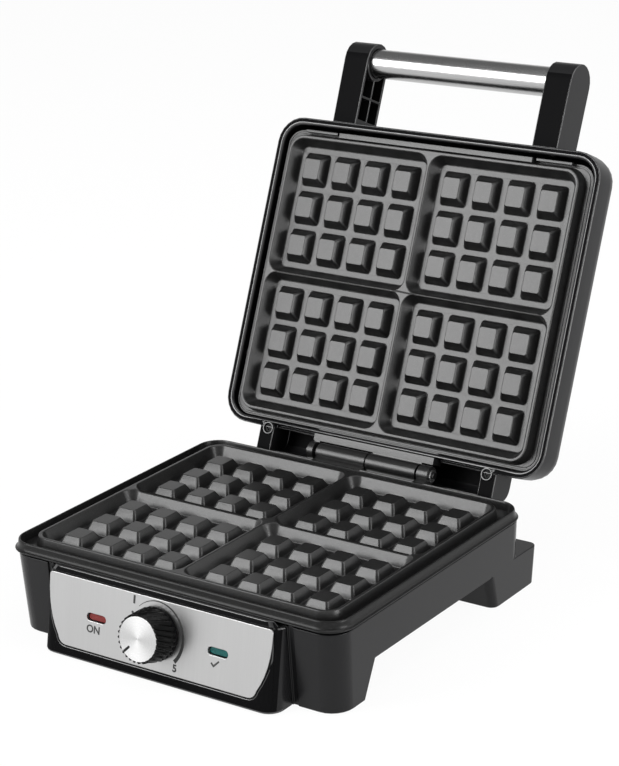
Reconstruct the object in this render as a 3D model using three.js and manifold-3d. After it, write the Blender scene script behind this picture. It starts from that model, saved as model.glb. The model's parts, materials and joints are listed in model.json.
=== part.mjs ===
// Four-slice belgian waffle maker, lid open. Millimetres, +Z up, front towards -Y.
// The lid and its pieces are drawn in the lid's own frame: +Y runs from the hinge to the
// handle and +Z out of the upper cooking face.
import * as THREE from "three";
import { mergeVertices } from "three/addons/utils/BufferGeometryUtils.js";
import Module from "manifold-3d";

// Clearances
const seatGap = 0.3; // between two pieces that touch
const cutLap = 2; // how far a cut runs past what it cuts
const rootDepth = 0.5; // how far a boss or rib is rooted in the wall that carries it

// Waffle grid of both cooking plates
const cellPitchX = 27.5;
const cellPitchY = 30;
const cellColumns = 4; // in one pocket
const cellRows = 3;
const centreGapX = 43.2; // between the two middle columns of pegs
const centreGapY = 45.65;
const pegTopX = 14.3;
const pegTopY = 15.6;
const pegBaseX = 21.8;
const pegBaseY = 25.4;
const pocketDepth = 8.2; // below the peg tops, which are the cooking face
const pocketMarginX = 4.8; // floor beside the outermost pegs
const pocketMarginY = 5.3;
const pocketWallLean = 4.8;
const pocketCornerRadius = 10;
const landWidth = 2.4; // flat rim round the four pockets
const landRise = 2; // rim and ridges above the cooking face
const flangeDepth = 6.9; // ledge round the upper plate below its cooking face
const landWallLean = 2;
const plateFloor = 4; // metal under the pockets
const plateSideGap = 1.3; // between a plate and the shell round it
const plateCornerRadius = 13;

// Base shell
const faceHeight = 67.4; // lower cooking face above the worktop
const shellWall = 2.6;
const shellHalfWidth = 138.3; // at the top edge
const shellFront = 119.1;
const shellRear = 122.4;
const shellCornerRadius = 16.5;
const shellDrop = 8.8; // top edge of the shell below the lower cooking face
const shellBottom = 0.5;
const shellDraftX = 2.2; // how far each wall comes in at the bottom
const shellDraftFront = 3.6;
const shellDraftRear = 1.4;
const shellFootRound = 0.9; // round of the bottom edge
const bellyHeight = 27; // underside between front plinth and rear feet
const plinthRearTop = 74; // rear face of the front plinth, at the belly
const plinthRearBottom = 86;
const footFrontTop = 74; // front face of the rear feet, at the belly
const footFrontBottom = 82;
const footInnerX = 96;
const footReach = 20.2; // rear feet behind the rear wall
const footLedge = 29.7; // top of the rear feet there
const footDraft = 2.4; // how far their rear face comes in at the bottom
const footCornerRadius = 6;
const grooveWidth = 4; // upright groove beside the control housing
const grooveDepth = 1.4;
const ribThickness = 3;
const ribReach = 10;
const ribSpanShare = 0.55; // where the ribs stand along each side

// Lower plate rim
const lipFlare = 2.7; // lip edge beyond the shell
const lipHeight = 0.8; // lip above the cooking face
const lipBottom = 6.5; // lip edge below the cooking face
const lipEdge = 1; // upright part of the lip edge
const lipWidth = 1.4; // at its top
const lipInnerLean = 1.3;
const gutterDepth = 5.5;

// Bottom cover, recessed between the walls
const coverThickness = 2.3;
const coverInset = 4;
const coverLedge = 15; // ledge of the shell that the cover is screwed to
const coverSlots = 5;
const coverSlotLength = 60;
const coverSlotWidth = 4;
const coverSlotPitch = 14;

// Hinge
const lidGap = 4.7; // between the two cooking faces, closed
const openAngle = 113;
const hingeBack = 129.8; // pin behind the plate centre
const hingeRise = 2.95; // pin above the lower cooking face
const barrelRadius = 6.9;
const pinRadius = 2.6;
const pinEnd = 1.8; // pin beyond the last knuckle, outside its clip
const clipThickness = 1.2;
const clipRadius = 4.6;
const knuckleLong = 43.4;
const knuckleShortLeft = 5;
const knuckleShortRight = 9.3;
const knuckleMiddleGap = 1.1;
const knuckleLeftGap = 3.3;
const knuckleRightGap = 1.6;
const knuckleClearance = 0.7; // beside a barrel that turns
const hingeStripThickness = 5;
const hingeStripMargin = 1.4;

// Lid shell
const lidHalfWidth = 141.35;
const lidHingeEdge = 119.1;
const lidFreeEdge = 122.1;
const lidCornerRadius = 20.6;
const lidRim = 1.9; // rim below the upper cooking face
const lidRimWidth = 5.5;
const lidRimThickness = 2.6;
const lidBack = 39.05; // back of the lid below the upper cooking face
const lidFillet = 20;
const lidWall = 2.6;
const bandReach = 4.1; // raised band on the free edge of the upper plate
const bandHalfLength = 85;
const bandNotch = 2.2;
const bandEndWidth = 2.2; // thinner ends of the band, beyond the notches
const bandEndDrop = 1.5;

// Hinge housing of the lid shell
const housingHalfWidth = 105.3;
const earThickness = 12.6;
const housingReach = 19.8; // behind the hinge side of the lid
const housingFront = 2.75;
const housingBack = 28.05;
const housingRound = 11;
const housingSill = 9; // front edge of the wall behind the barrel
const earScrewInset = 7.7;
const earScrewOffset = 1.2;
const earScrewHead = 3.4;
const earScrewRecess = 2.2;
const rimSetback = 2.9; // edge of the lid between the ears
const rimSetbackDepth = 7;

// Handle
const armInset = 63.55; // inner faces of the arms inside the lid's sides
const armWidth = 20.9;
const armFlare = 0.8; // how far the outer faces lean out at the top
const armFront = 8.25; // below the upper cooking face
const armReach = 66.8; // beyond the free edge of the lid
const armWall = 2.4;
const armBossRadius = 14;
const armRib = 1.8;
const armCrossRibShare = 0.34;
const tubeRadius = 11.25;
const tubeWall = 1.5;
const tubeSocket = 14; // depth of the tube in each arm

// Control housing and faceplate
const panelLean = 10.25;
const panelDrop = 9.65; // top edge of the faceplate below the lower cooking face
const panelTopFront = 127.3;
const consoleHalfWidth = 99;
const consoleDrop = 5.2; // top of the housing below the lower cooking face
const consoleTopFront = 125.4;
const consoleTopInset = 2.7;
const consoleBottom = 0.8;
const consoleCornerRadius = 11;
const consoleWall = 2.5;
const consoleBottomRound = 1.6;
const lipShadow = 1.2; // gap between the lip and the console's top edge
const plateFootGap = 8.24; // below the faceplate
const plateTopHalf = 94;
const plateBottomHalf = 82.5;
const plateSideShare = 0.45; // where the faceplate's sides bend most
const plateTopCorner = 3;
const plateBottomCorner = 6;
const faceThickness = 1.2;
const faceBorder = 0.9; // dark gap round the faceplate

// Knob and thermostat, on the faceplate
const knobDrop = 23.6; // below the top edge of the faceplate
const knobFootRadius = 19.6;
const knobFootHeight = 3.2;
const knobBackRadius = 19.2;
const knobFrontRadius = 17;
const knobHeight = 20;
const knobFlutes = 28;
const knobFluteDepth = 1;
const knobFluteTwist = 20; // degrees from back to front
const knobWall = 1.8;
const knobHubRadius = 6;
const capRadius = 15.5;
const capThickness = 1.2;
const pointerLength = 6;
const pointerWidth = 1.6;
const pointerMargin = 0.6;
const pointerAngle = 225; // degrees clockwise from the top, seen from the front
const shaftRadius = 3;
const bushRadius = 4.5;
const nutRadius = 7;
const nutThickness = 2.5;
const bracketThickness = 1.2;
const bracketWidth = 60;
const bracketHeight = 26;
const bracketBoss = 4; // boss length behind the console wall
const bracketBossRadius = 3.5;
const thermostatRadius = 14;
const thermostatDepth = 16;
const thermostatTab = 8;
const thermostatTabThickness = 0.8;

// Lamps
const lensSpacing = 51.4; // each side of the knob
const lensDrop = 24.9;
const lensLength = 16.2;
const lensHeight = 5;
const lensRecess = 2; // face of a lens below the faceplate
const lensFlange = 1.6;
const lensFlangeThickness = 1.5;
const lampRadius = 2.6;
const lampLength = 16;

// Heaters and heat shields, one set behind each plate
const heaterRadius = 3.3;
const heaterInset = 39.4; // inside the edge of the plate
const heaterHalfY = 72;
const heaterCorner = 30;
const heaterEndSpacing = 16;
const heaterTail = 9;
const tailClearance = 1.4; // round the ends of the element in the shield
const shieldThickness = 0.8;
const shieldInset = 16.4; // inside the edge of the plate
const shieldHalfY = 96;
const shieldCorner = 12;
const plateBossRadius = 5;
const plateBossX = 62;
const plateBossY = 44;
const screwRadius = 1.8;
const screwHeadRadius = 3.6;
const screwHeadHeight = 2.2;
const screwLength = 9;

// Wiring inside the base
const blockLength = 34;
const blockWidth = 17;
const blockHeight = 13;
const blockWays = 3;
const blockX = 52;
const blockY = 44;
const fuseRadius = 3;
const fuseLength = 38;
const fuseX = -38;
const leadRadius = 1.6;
const glandSpacing = 18; // beside the rib of the rear wall
const glandHeight = 41;
const glandRadius = 7;
const glandBore = 3.8;
const glandFlange = 10;
const glandFlangeThickness = 3.5;
const glandNeck = 2;

// Feet
const padLength = 24;
const padWidth = 22;
const padRecess = 2;
const padInset = 9;

// Fineness of round forms
const cornerSteps = 6;
const filletSteps = 5;
const pillSteps = 3;
const roundSides = 32;
const smallSides = 12;
const tubeSides = 10;

const wasm = await Module();
wasm.setup();
const rad = THREE.MathUtils.degToRad;

// Heights that follow from the lower cooking face
const shellTop = faceHeight - shellDrop;
const panelTop = faceHeight - panelDrop;
const consoleTop = faceHeight - consoleDrop;
const plateLength = (panelTop - consoleBottom - plateFootGap) / Math.cos(rad(panelLean));

// Forms

// Closed solid from a closed mesh
function solid(geometry) {
  const bare = geometry.clone();
  bare.deleteAttribute("normal");
  bare.deleteAttribute("uv");
  const merged = mergeVertices(bare);
  const mesh = new wasm.Mesh({
    numProp: 3,
    vertProperties: new Float32Array(merged.attributes.position.array),
    triVerts: new Uint32Array(merged.index.array),
  });
  return new wasm.Manifold(mesh);
}

// Mesh for display, from a solid
function surface(body) {
  const mesh = body.getMesh();
  const geometry = new THREE.BufferGeometry();
  geometry.setAttribute(
    "position", new THREE.BufferAttribute(new Float32Array(mesh.vertProperties), 3),
  );
  geometry.setIndex(new THREE.BufferAttribute(new Uint32Array(mesh.triVerts), 1));
  geometry.computeVertexNormals();
  return geometry;
}

// Outline of a rectangle with round corners, anticlockwise
function roundedOutline(halfX, front, rear, radius, steps = cornerSteps) {
  const points = [];
  const corners = [
    [halfX - radius, front + radius],
    [halfX - radius, rear - radius],
    [radius - halfX, rear - radius],
    [radius - halfX, front + radius],
  ];
  corners.forEach(([x, y], quarter) => {
    for (let step = 0; step <= steps; step += 1) {
      const angle = ((quarter - 1 + step / steps) * Math.PI) / 2;
      points.push(new THREE.Vector2(x + radius * Math.cos(angle), y + radius * Math.sin(angle)));
    }
  });
  return points;
}

function rectangle(halfX, halfY, x = 0, y = 0) {
  return [
    new THREE.Vector2(x - halfX, y - halfY),
    new THREE.Vector2(x + halfX, y - halfY),
    new THREE.Vector2(x + halfX, y + halfY),
    new THREE.Vector2(x - halfX, y + halfY),
  ];
}

// Skin through level outlines of equal point count, listed upwards as [height, points]
function loftGeometry(levels) {
  const count = levels[0][1].length;
  const position = [];
  levels.forEach(([z, points]) => points.forEach((p) => position.push(p.x, p.y, z)));
  const index = [];
  for (let level = 0; level < levels.length - 1; level += 1) {
    for (let i = 0; i < count; i += 1) {
      const next = (i + 1) % count;
      const a = level * count + i;
      const b = level * count + next;
      index.push(a, b, b + count, a, b + count, a + count);
    }
  }
  const top = (levels.length - 1) * count;
  THREE.ShapeUtils.triangulateShape(levels[0][1], []).forEach(([a, b, c]) => {
    index.push(a, c, b, top + a, top + b, top + c);
  });
  const geometry = new THREE.BufferGeometry();
  geometry.setAttribute("position", new THREE.BufferAttribute(new Float32Array(position), 3));
  geometry.setIndex(index);
  return geometry;
}

function loft(levels) {
  return solid(loftGeometry(levels));
}

function block(x0, x1, y0, y1, z0, z1) {
  const geometry = new THREE.BoxGeometry(x1 - x0, y1 - y0, z1 - z0);
  geometry.translate((x0 + x1) / 2, (y0 + y1) / 2, (z0 + z1) / 2);
  return solid(geometry);
}

// Upright prism of an outline
function prism(points, z0, z1) {
  const geometry = new THREE.ExtrudeGeometry(
    new THREE.Shape(points), { depth: z1 - z0, bevelEnabled: false },
  );
  geometry.translate(0, 0, z0);
  return solid(geometry);
}

// Prism along X of an outline in the YZ plane
function sidePrism(points, x0, x1) {
  const geometry = new THREE.ExtrudeGeometry(
    new THREE.Shape(points), { depth: x1 - x0, bevelEnabled: false },
  );
  geometry.applyMatrix4(new THREE.Matrix4().makeBasis(unitY, unitZ, unitX));
  geometry.translate(x0, 0, 0);
  return solid(geometry);
}

const unitX = new THREE.Vector3(1, 0, 0);
const unitY = new THREE.Vector3(0, 1, 0);
const unitZ = new THREE.Vector3(0, 0, 1);

// Rod from one point to another
function rod(radius, from, to, sides = smallSides) {
  const axis = to.clone().sub(from);
  const geometry = new THREE.CylinderGeometry(radius, radius, axis.length(), sides);
  const turn = new THREE.Quaternion().setFromUnitVectors(unitY, axis.clone().normalize());
  geometry.applyQuaternion(turn);
  geometry.translate(...from.clone().add(to).divideScalar(2).toArray());
  return solid(geometry);
}

function rodX(radius, x0, x1, y, z, sides = smallSides) {
  return rod(radius, new THREE.Vector3(x0, y, z), new THREE.Vector3(x1, y, z), sides);
}

function rodY(radius, x, y0, y1, z, sides = smallSides) {
  return rod(radius, new THREE.Vector3(x, y0, z), new THREE.Vector3(x, y1, z), sides);
}

function rodZ(radius, x, y, z0, z1, sides = smallSides) {
  return rod(radius, new THREE.Vector3(x, y, z0), new THREE.Vector3(x, y, z1), sides);
}

// Long round-ended outline
function pillOutline(length, height, steps = pillSteps) {
  return roundedOutline(length / 2, -height / 2, height / 2, height / 2, steps);
}

const bothSides = [-1, 1];
const fourCorners = [
  [-1, -1],
  [1, -1],
  [1, 1],
  [-1, 1],
];

function sideName(sign) {
  return sign < 0 ? "left" : "right";
}

// Corner of the base, front towards -Y
function baseCorner([signX, signY]) {
  return `${signY < 0 ? "front" : "rear"}_${sideName(signX)}`;
}

// Corner of the lid, named as it stands open
function lidCorner([signX, signY]) {
  return `${signY < 0 ? "bottom" : "top"}_${sideName(signX)}`;
}

// Cooking plates, drawn with the cooking face at zero and the metal below it

const pocketOuterX = centreGapX / 2 + (cellColumns - 1) * cellPitchX + pegBaseX / 2 + pocketMarginX;
const pocketOuterY = centreGapY / 2 + (cellRows - 1) * cellPitchY + pegBaseY / 2 + pocketMarginY;
const pocketInnerX = centreGapX / 2 - pegBaseX / 2 - pocketMarginX;
const pocketInnerY = centreGapY / 2 - pegBaseY / 2 - pocketMarginY;
const landX = pocketOuterX + pocketWallLean + landWidth;
const landY = pocketOuterY + pocketWallLean + landWidth;
const plateUnderside = -pocketDepth - plateFloor;

function pocket(signX, signY) {
  const middleX = (signX * (pocketInnerX + pocketOuterX)) / 2;
  const middleY = (signY * (pocketInnerY + pocketOuterY)) / 2;
  const halfX = (pocketOuterX - pocketInnerX) / 2;
  const halfY = (pocketOuterY - pocketInnerY) / 2;
  const grow = pocketWallLean / (pocketDepth + landRise);
  const level = (z) => {
    const more = grow * (z + pocketDepth);
    const radius = pocketCornerRadius - pocketWallLean + more;
    const points = roundedOutline(halfX + more, -halfY - more, halfY + more, radius);
    return [z, points.map((p) => new THREE.Vector2(p.x + middleX, p.y + middleY))];
  };
  return loft([level(-pocketDepth), level(landRise), level(landRise + cutLap)]);
}

function peg(x, y) {
  return loft([
    [-pocketDepth - rootDepth, rectangle(pegBaseX / 2, pegBaseY / 2, x, y)],
    [-pocketDepth, rectangle(pegBaseX / 2, pegBaseY / 2, x, y)],
    [0, rectangle(pegTopX / 2, pegTopY / 2, x, y)],
  ]);
}

function land(depth) {
  const level = (z, more) => [
    z, roundedOutline(landX + more, -landY - more, landY + more, pocketCornerRadius + landWidth + more),
  ];
  return loft([
    level(-depth - rootDepth, landWallLean), level(-depth, landWallLean), level(landRise, 0),
  ]);
}

// Pockets, pegs and the bosses that carry the heat shield
function finishPlate(body) {
  let plate = body;
  fourCorners.forEach(([signX, signY]) => {
    plate = plate.subtract(pocket(signX, signY));
    for (let column = 0; column < cellColumns; column += 1) {
      for (let row = 0; row < cellRows; row += 1) {
        const x = signX * (centreGapX / 2 + column * cellPitchX);
        const y = signY * (centreGapY / 2 + row * cellPitchY);
        plate = plate.add(peg(x, y));
      }
    }
    const [x, y] = [signX * plateBossX, signY * plateBossY];
    plate = plate.add(rodZ(plateBossRadius, x, y, bossEnd, plateUnderside + rootDepth));
    plate = plate.subtract(rodZ(screwRadius + seatGap, x, y, bossEnd - cutLap, screwTip + seatGap));
  });
  return plate;
}

const heaterHeight = plateUnderside - seatGap - heaterRadius;
const shieldTop = heaterHeight - heaterRadius - seatGap;
const shieldBottom = shieldTop - shieldThickness;
const bossEnd = shieldTop + seatGap;
const screwSeat = shieldBottom - seatGap;
const screwTip = screwSeat + screwLength;

// Tubular element, a rounded loop whose two ends turn down through the shield
function heater(plateHalfX) {
  const path = new THREE.CurvePath();
  const heaterHalfX = plateHalfX - heaterInset;
  const point = (x, y, z = heaterHeight) => new THREE.Vector3(x, y, z);
  const tailEnd = shieldBottom - heaterTail;
  const rear = heaterHalfY;
  const end = heaterEndSpacing / 2;
  const bend = heaterCorner / 2;
  const stops = [
    [point(-end, rear, tailEnd), point(-end, rear, heaterHeight - heaterRadius * 2), point(-end, rear)],
    [point(-end - heaterRadius * 2, rear), point(-heaterHalfX + bend, rear), point(-heaterHalfX, rear)],
    [point(-heaterHalfX, rear - bend), point(-heaterHalfX, -rear + bend), point(-heaterHalfX, -rear)],
    [point(-heaterHalfX + bend, -rear), point(heaterHalfX - bend, -rear), point(heaterHalfX, -rear)],
    [point(heaterHalfX, -rear + bend), point(heaterHalfX, rear - bend), point(heaterHalfX, rear)],
    [point(heaterHalfX - bend, rear), point(end + heaterRadius * 2, rear), point(end, rear)],
    [point(end, rear, heaterHeight - heaterRadius * 2), point(end, rear, tailEnd)],
  ];
  const flat = stops.flat();
  // Straight runs joined by quadratic bends: run, bend, run, and so on
  for (let i = 0; i + 1 < flat.length; i += 3) {
    path.add(new THREE.LineCurve3(flat[i], flat[i + 1]));
    if (i + 3 < flat.length) {
      path.add(new THREE.QuadraticBezierCurve3(flat[i + 1], flat[i + 2], flat[i + 3]));
    }
  }
  return sweepAlong(path, heaterRadius);
}

// Tube swept through the ends of straight runs and the points of bends
function sweepAlong(path, radius, bendSteps = 4) {
  const centres = [];
  path.curves.forEach((curve, index) => {
    const steps = curve.type === "LineCurve3" ? 1 : bendSteps;
    for (let step = index === 0 ? 0 : 1; step <= steps; step += 1) {
      centres.push(curve.getPoint(step / steps));
    }
  });
  const direction = (i) => {
    const before = centres[Math.max(i - 1, 0)];
    const after = centres[Math.min(i + 1, centres.length - 1)];
    return after.clone().sub(before).normalize();
  };
  const position = [];
  let side = unitX.clone().cross(direction(0)).lengthSq() > 0.5 ? unitX.clone() : unitY.clone();
  centres.forEach((centre, i) => {
    const ahead = direction(i);
    side = side.sub(ahead.clone().multiplyScalar(side.dot(ahead))).normalize();
    const up = ahead.clone().cross(side);
    for (let k = 0; k < tubeSides; k += 1) {
      const angle = (k / tubeSides) * 2 * Math.PI;
      const across = side.clone().multiplyScalar(radius * Math.cos(angle));
      const along = up.clone().multiplyScalar(radius * Math.sin(angle));
      position.push(...centre.clone().add(across).add(along).toArray());
    }
  });
  const index = [];
  for (let i = 0; i < centres.length - 1; i += 1) {
    for (let k = 0; k < tubeSides; k += 1) {
      const a = i * tubeSides + k;
      const b = i * tubeSides + ((k + 1) % tubeSides);
      index.push(a, b, b + tubeSides, a, b + tubeSides, a + tubeSides);
    }
  }
  const last = (centres.length - 1) * tubeSides;
  for (let k = 1; k < tubeSides - 1; k += 1) {
    index.push(0, k + 1, k, last, last + k, last + k + 1);
  }
  const geometry = new THREE.BufferGeometry();
  geometry.setAttribute("position", new THREE.BufferAttribute(new Float32Array(position), 3));
  geometry.setIndex(index);
  return solid(geometry);
}

// Shallow steel tray that closes the heater in against the plate
function heatShield(plateHalfX) {
  const shieldHalfX = plateHalfX - shieldInset;
  const outer = roundedOutline(shieldHalfX, -shieldHalfY, shieldHalfY, shieldCorner);
  const less = shieldThickness;
  const inner = roundedOutline(
    shieldHalfX - less, less - shieldHalfY, shieldHalfY - less, shieldCorner - less,
  );
  let tray = prism(outer, shieldBottom, plateUnderside - seatGap);
  tray = tray.subtract(prism(inner, shieldTop, plateUnderside + cutLap));
  fourCorners.forEach(([signX, signY]) => {
    const hole = rodZ(
      screwRadius + seatGap,
      signX * plateBossX,
      signY * plateBossY,
      shieldBottom - cutLap,
      shieldTop + cutLap,
      tubeSides,
    );
    tray = tray.subtract(hole);
  });
  bothSides.forEach((sign) => {
    const x = (sign * heaterEndSpacing) / 2;
    const hole = rodZ(
      heaterRadius + tailClearance, x, heaterHalfY, shieldBottom - cutLap, shieldTop + cutLap,
    );
    tray = tray.subtract(hole);
  });
  return tray;
}

function screw(x, y, seat, tip, head = screwHeadRadius) {
  return rodZ(
    head, x, y, seat - screwHeadHeight, seat,
  ).add(rodZ(screwRadius, x, y, seat - rootDepth, tip, tubeSides));
}

function shieldScrew([signX, signY]) {
  return screw(signX * plateBossX, signY * plateBossY, screwSeat, screwTip);
}

// Hinge, knuckles left to right: lid, base, lid, base

const knuckleInner = knuckleMiddleGap / 2;
const knuckleOuter = knuckleInner + knuckleLong;
const knuckles = {
  lid: [
    [-knuckleOuter - knuckleLeftGap - knuckleShortLeft, -knuckleOuter - knuckleLeftGap],
    [knuckleInner, knuckleOuter],
  ],
  base: [
    [-knuckleOuter, -knuckleInner],
    [knuckleOuter + knuckleRightGap, knuckleOuter + knuckleRightGap + knuckleShortRight],
  ],
};
const hingeLeft = knuckles.lid[0][0];
const hingeRight = knuckles.base[1][1];
const hingeStripLeft = hingeLeft - hingeStripMargin;
const hingeStripRight = hingeRight - hingeStripMargin;
const lidHingeRise = lidGap - hingeRise; // pin above the upper cooking face, in the lid's frame

function knuckle([x0, x1], y, z, webY, webZ0, webZ1) {
  return rodX(
    barrelRadius, x0, x1, y, z, roundSides,
  ).add(block(x0, x1, Math.min(y, webY), Math.max(y, webY), webZ0, webZ1));
}

function pinBore(y, z) {
  return rodX(pinRadius + seatGap, hingeLeft - cutLap, hingeRight + cutLap, y, z, smallSides);
}

const lowerHalfX = shellHalfWidth - shellWall - plateSideGap;

function lowerPlate() {
  const bodyY = shellFront - shellWall - plateSideGap;
  const level = (z, halfX, halfY, radius) => [z, roundedOutline(halfX, -halfY, halfY, radius)];
  const edge = (z, more) => level(
    z, shellHalfWidth + more, shellFront + more, shellCornerRadius + more,
  );
  const outer = loft([
    level(plateUnderside, lowerHalfX, bodyY, plateCornerRadius),
    level(-lipBottom, lowerHalfX, bodyY, plateCornerRadius),
    edge(-lipBottom, lipFlare - lipEdge / 2),
    edge(-lipBottom + lipEdge, lipFlare),
    edge(lipHeight - lipEdge / 2, 0),
    edge(lipHeight, -lipEdge / 2),
  ]);
  const gutter = loft([
    edge(-gutterDepth, -lipWidth - lipInnerLean),
    edge(lipHeight, -lipWidth),
    edge(lipHeight + cutLap, -lipWidth),
  ]).subtract(land(gutterDepth));
  let plate = outer.subtract(gutter).add(land(gutterDepth));
  knuckles.base.forEach((span) => {
    plate = plate.add(
      knuckle(span, hingeBack, hingeRise, shellFront, hingeRise - barrelRadius, lipHeight),
    );
  });
  return finishPlate(plate.subtract(pinBore(hingeBack, hingeRise)));
}

const upperHalfX = lidHalfWidth - lidRimWidth - plateSideGap;
const upperHalfY = lidHingeEdge - lidRimWidth - seatGap;

function upperPlate() {
  const level = (z) => [z, roundedOutline(upperHalfX, -upperHalfY, upperHalfY, plateCornerRadius)];
  let plate = loft([level(plateUnderside), level(-flangeDepth)]).add(land(flangeDepth));
  const bandY = upperHalfY - bandReach;
  plate = plate.add(
    block(-bandHalfLength, bandHalfLength, bandY, upperHalfY, -flangeDepth - rootDepth, 0),
  );
  bothSides.forEach((sign) => {
    const x0 = sign * (bandHalfLength + bandNotch);
    const x1 = sign * (landX - pocketCornerRadius);
    const end = [Math.min(x0, x1), Math.max(x0, x1)];
    plate = plate.add(
      block(...end, upperHalfY - bandEndWidth, upperHalfY, -flangeDepth - rootDepth, -bandEndDrop),
    );
  });
  const stripEdge = -hingeBack + barrelRadius + knuckleClearance;
  const stripRise = -lidHingeEdge + rimSetback - seatGap;
  const rimUnderside = -lidRim - lidRimThickness - rootDepth;
  const strip = [
    new THREE.Vector2(stripEdge, plateUnderside),
    new THREE.Vector2(rootDepth - upperHalfY, plateUnderside),
    new THREE.Vector2(rootDepth - upperHalfY, rimUnderside),
    new THREE.Vector2(stripRise, rimUnderside),
    new THREE.Vector2(stripRise, 0),
    new THREE.Vector2(stripEdge, 0),
  ];
  plate = plate.add(sidePrism(strip, hingeStripLeft, hingeStripRight));
  knuckles.lid.forEach((span) => {
    const web = stripEdge + rootDepth;
    plate = plate.add(knuckle(span, -hingeBack, lidHingeRise, web, -hingeStripThickness, 0));
  });
  return finishPlate(plate.subtract(pinBore(-hingeBack, lidHingeRise)));
}

function hingePin() {
  const reach = pinEnd + clipThickness;
  return rodX(pinRadius, hingeLeft - reach, hingeRight + reach, hingeBack, hingeRise);
}

// Retaining ring at one end of the pin
function hingeClip(sign) {
  const x = sign < 0 ? hingeLeft - seatGap - clipThickness : hingeRight + seatGap;
  const ring = rodX(clipRadius, x, x + clipThickness, hingeBack, hingeRise);
  return ring.subtract(
    rodX(pinRadius + seatGap, x - cutLap, x + clipThickness + cutLap, hingeBack, hingeRise),
  );
}

// Base shell

function shellSide(z) {
  return shellHalfWidth - (shellDraftX * (shellTop - z)) / (shellTop - shellBottom);
}

function shellOutline(z, inset = 0) {
  const share = (shellTop - z) / (shellTop - shellBottom);
  const halfX = shellSide(z) - inset;
  const front = -shellFront + shellDraftFront * share + inset;
  const rear = shellRear - shellDraftRear * share - inset;
  return roundedOutline(halfX, front, rear, shellCornerRadius - Math.max(inset, 0));
}

function shellBody(inset, bottom, top) {
  return loft([
    [bottom, shellOutline(bottom, inset)],
    [top, shellOutline(top, inset)],
  ]);
}

function shellOuter() {
  const tuck = shellFootRound * (1 - Math.SQRT1_2);
  return loft([
    [shellBottom, shellOutline(shellBottom, shellFootRound)],
    [shellBottom + tuck, shellOutline(shellBottom + tuck, tuck)],
    [shellBottom + shellFootRound, shellOutline(shellBottom + shellFootRound, 0)],
    [shellTop, shellOutline(shellTop, 0)],
  ]);
}

// Open space under the belly, grown by a wall where it bounds the cavity
function bellySpace(grow) {
  const width = shellHalfWidth + cutLap;
  const lean = (plinthRearBottom - plinthRearTop) / bellyHeight;
  const low = -cutLap;
  const high = bellyHeight + grow;
  const rear = shellRear + cutLap;
  const arch = [
    new THREE.Vector2(-plinthRearTop - grow - lean * (bellyHeight - low), low),
    new THREE.Vector2(rear, low),
    new THREE.Vector2(rear, high),
    new THREE.Vector2(-plinthRearTop - grow + lean * grow, high),
  ];
  return sidePrism(arch, -width, width);
}

const ledgeBottom = bellyHeight + coverThickness + seatGap;
const ledgeTop = ledgeBottom + shellWall;
const coverHalfX = shellHalfWidth - shellDraftX - shellWall - coverInset;
const coverHalfY = plinthRearTop - coverInset;
const coverOpeningX = coverHalfX - coverLedge;
const coverOpeningY = coverHalfY - coverLedge;
const coverScrewX = coverHalfX - coverLedge / 2;
const coverScrewY = coverHalfY - coverLedge / 2;
const footOuterX = shellHalfWidth - shellDraftX;
const footRear = shellRear + footReach;
const glandX = shellHalfWidth * ribSpanShare - glandSpacing;

function rearFoot(sign, inset, bottom, top) {
  const level = (z) => {
    const outer = shellSide(z);
    const middle = (sign * (footInnerX + outer)) / 2;
    const front = footFrontBottom + ((footFrontTop - footFrontBottom) * z) / bellyHeight;
    const rear = footRear - footDraft * (1 - z / footLedge);
    const radius = footCornerRadius - inset;
    const points = roundedOutline(
      (outer - footInnerX) / 2 - inset, front + inset, rear - inset, radius,
    );
    return [z, points.map((p) => new THREE.Vector2(p.x + middle, p.y))];
  };
  return loft([level(bottom), level(top)]);
}

function padPlace(signX, signY) {
  const x = signX * (footOuterX - padInset - padLength / 2);
  const inset = padInset + padWidth / 2;
  const y = signY < 0 ? inset - shellFront + shellDraftFront : footRear - footDraft - inset;
  return [x, y];
}

function padBlock(signX, signY, grow, z0, z1) {
  const [x, y] = padPlace(signX, signY);
  const halfX = padLength / 2 + grow;
  const halfY = padWidth / 2 + grow;
  return block(x - halfX, x + halfX, y - halfY, y + halfY, z0, z1);
}

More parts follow.
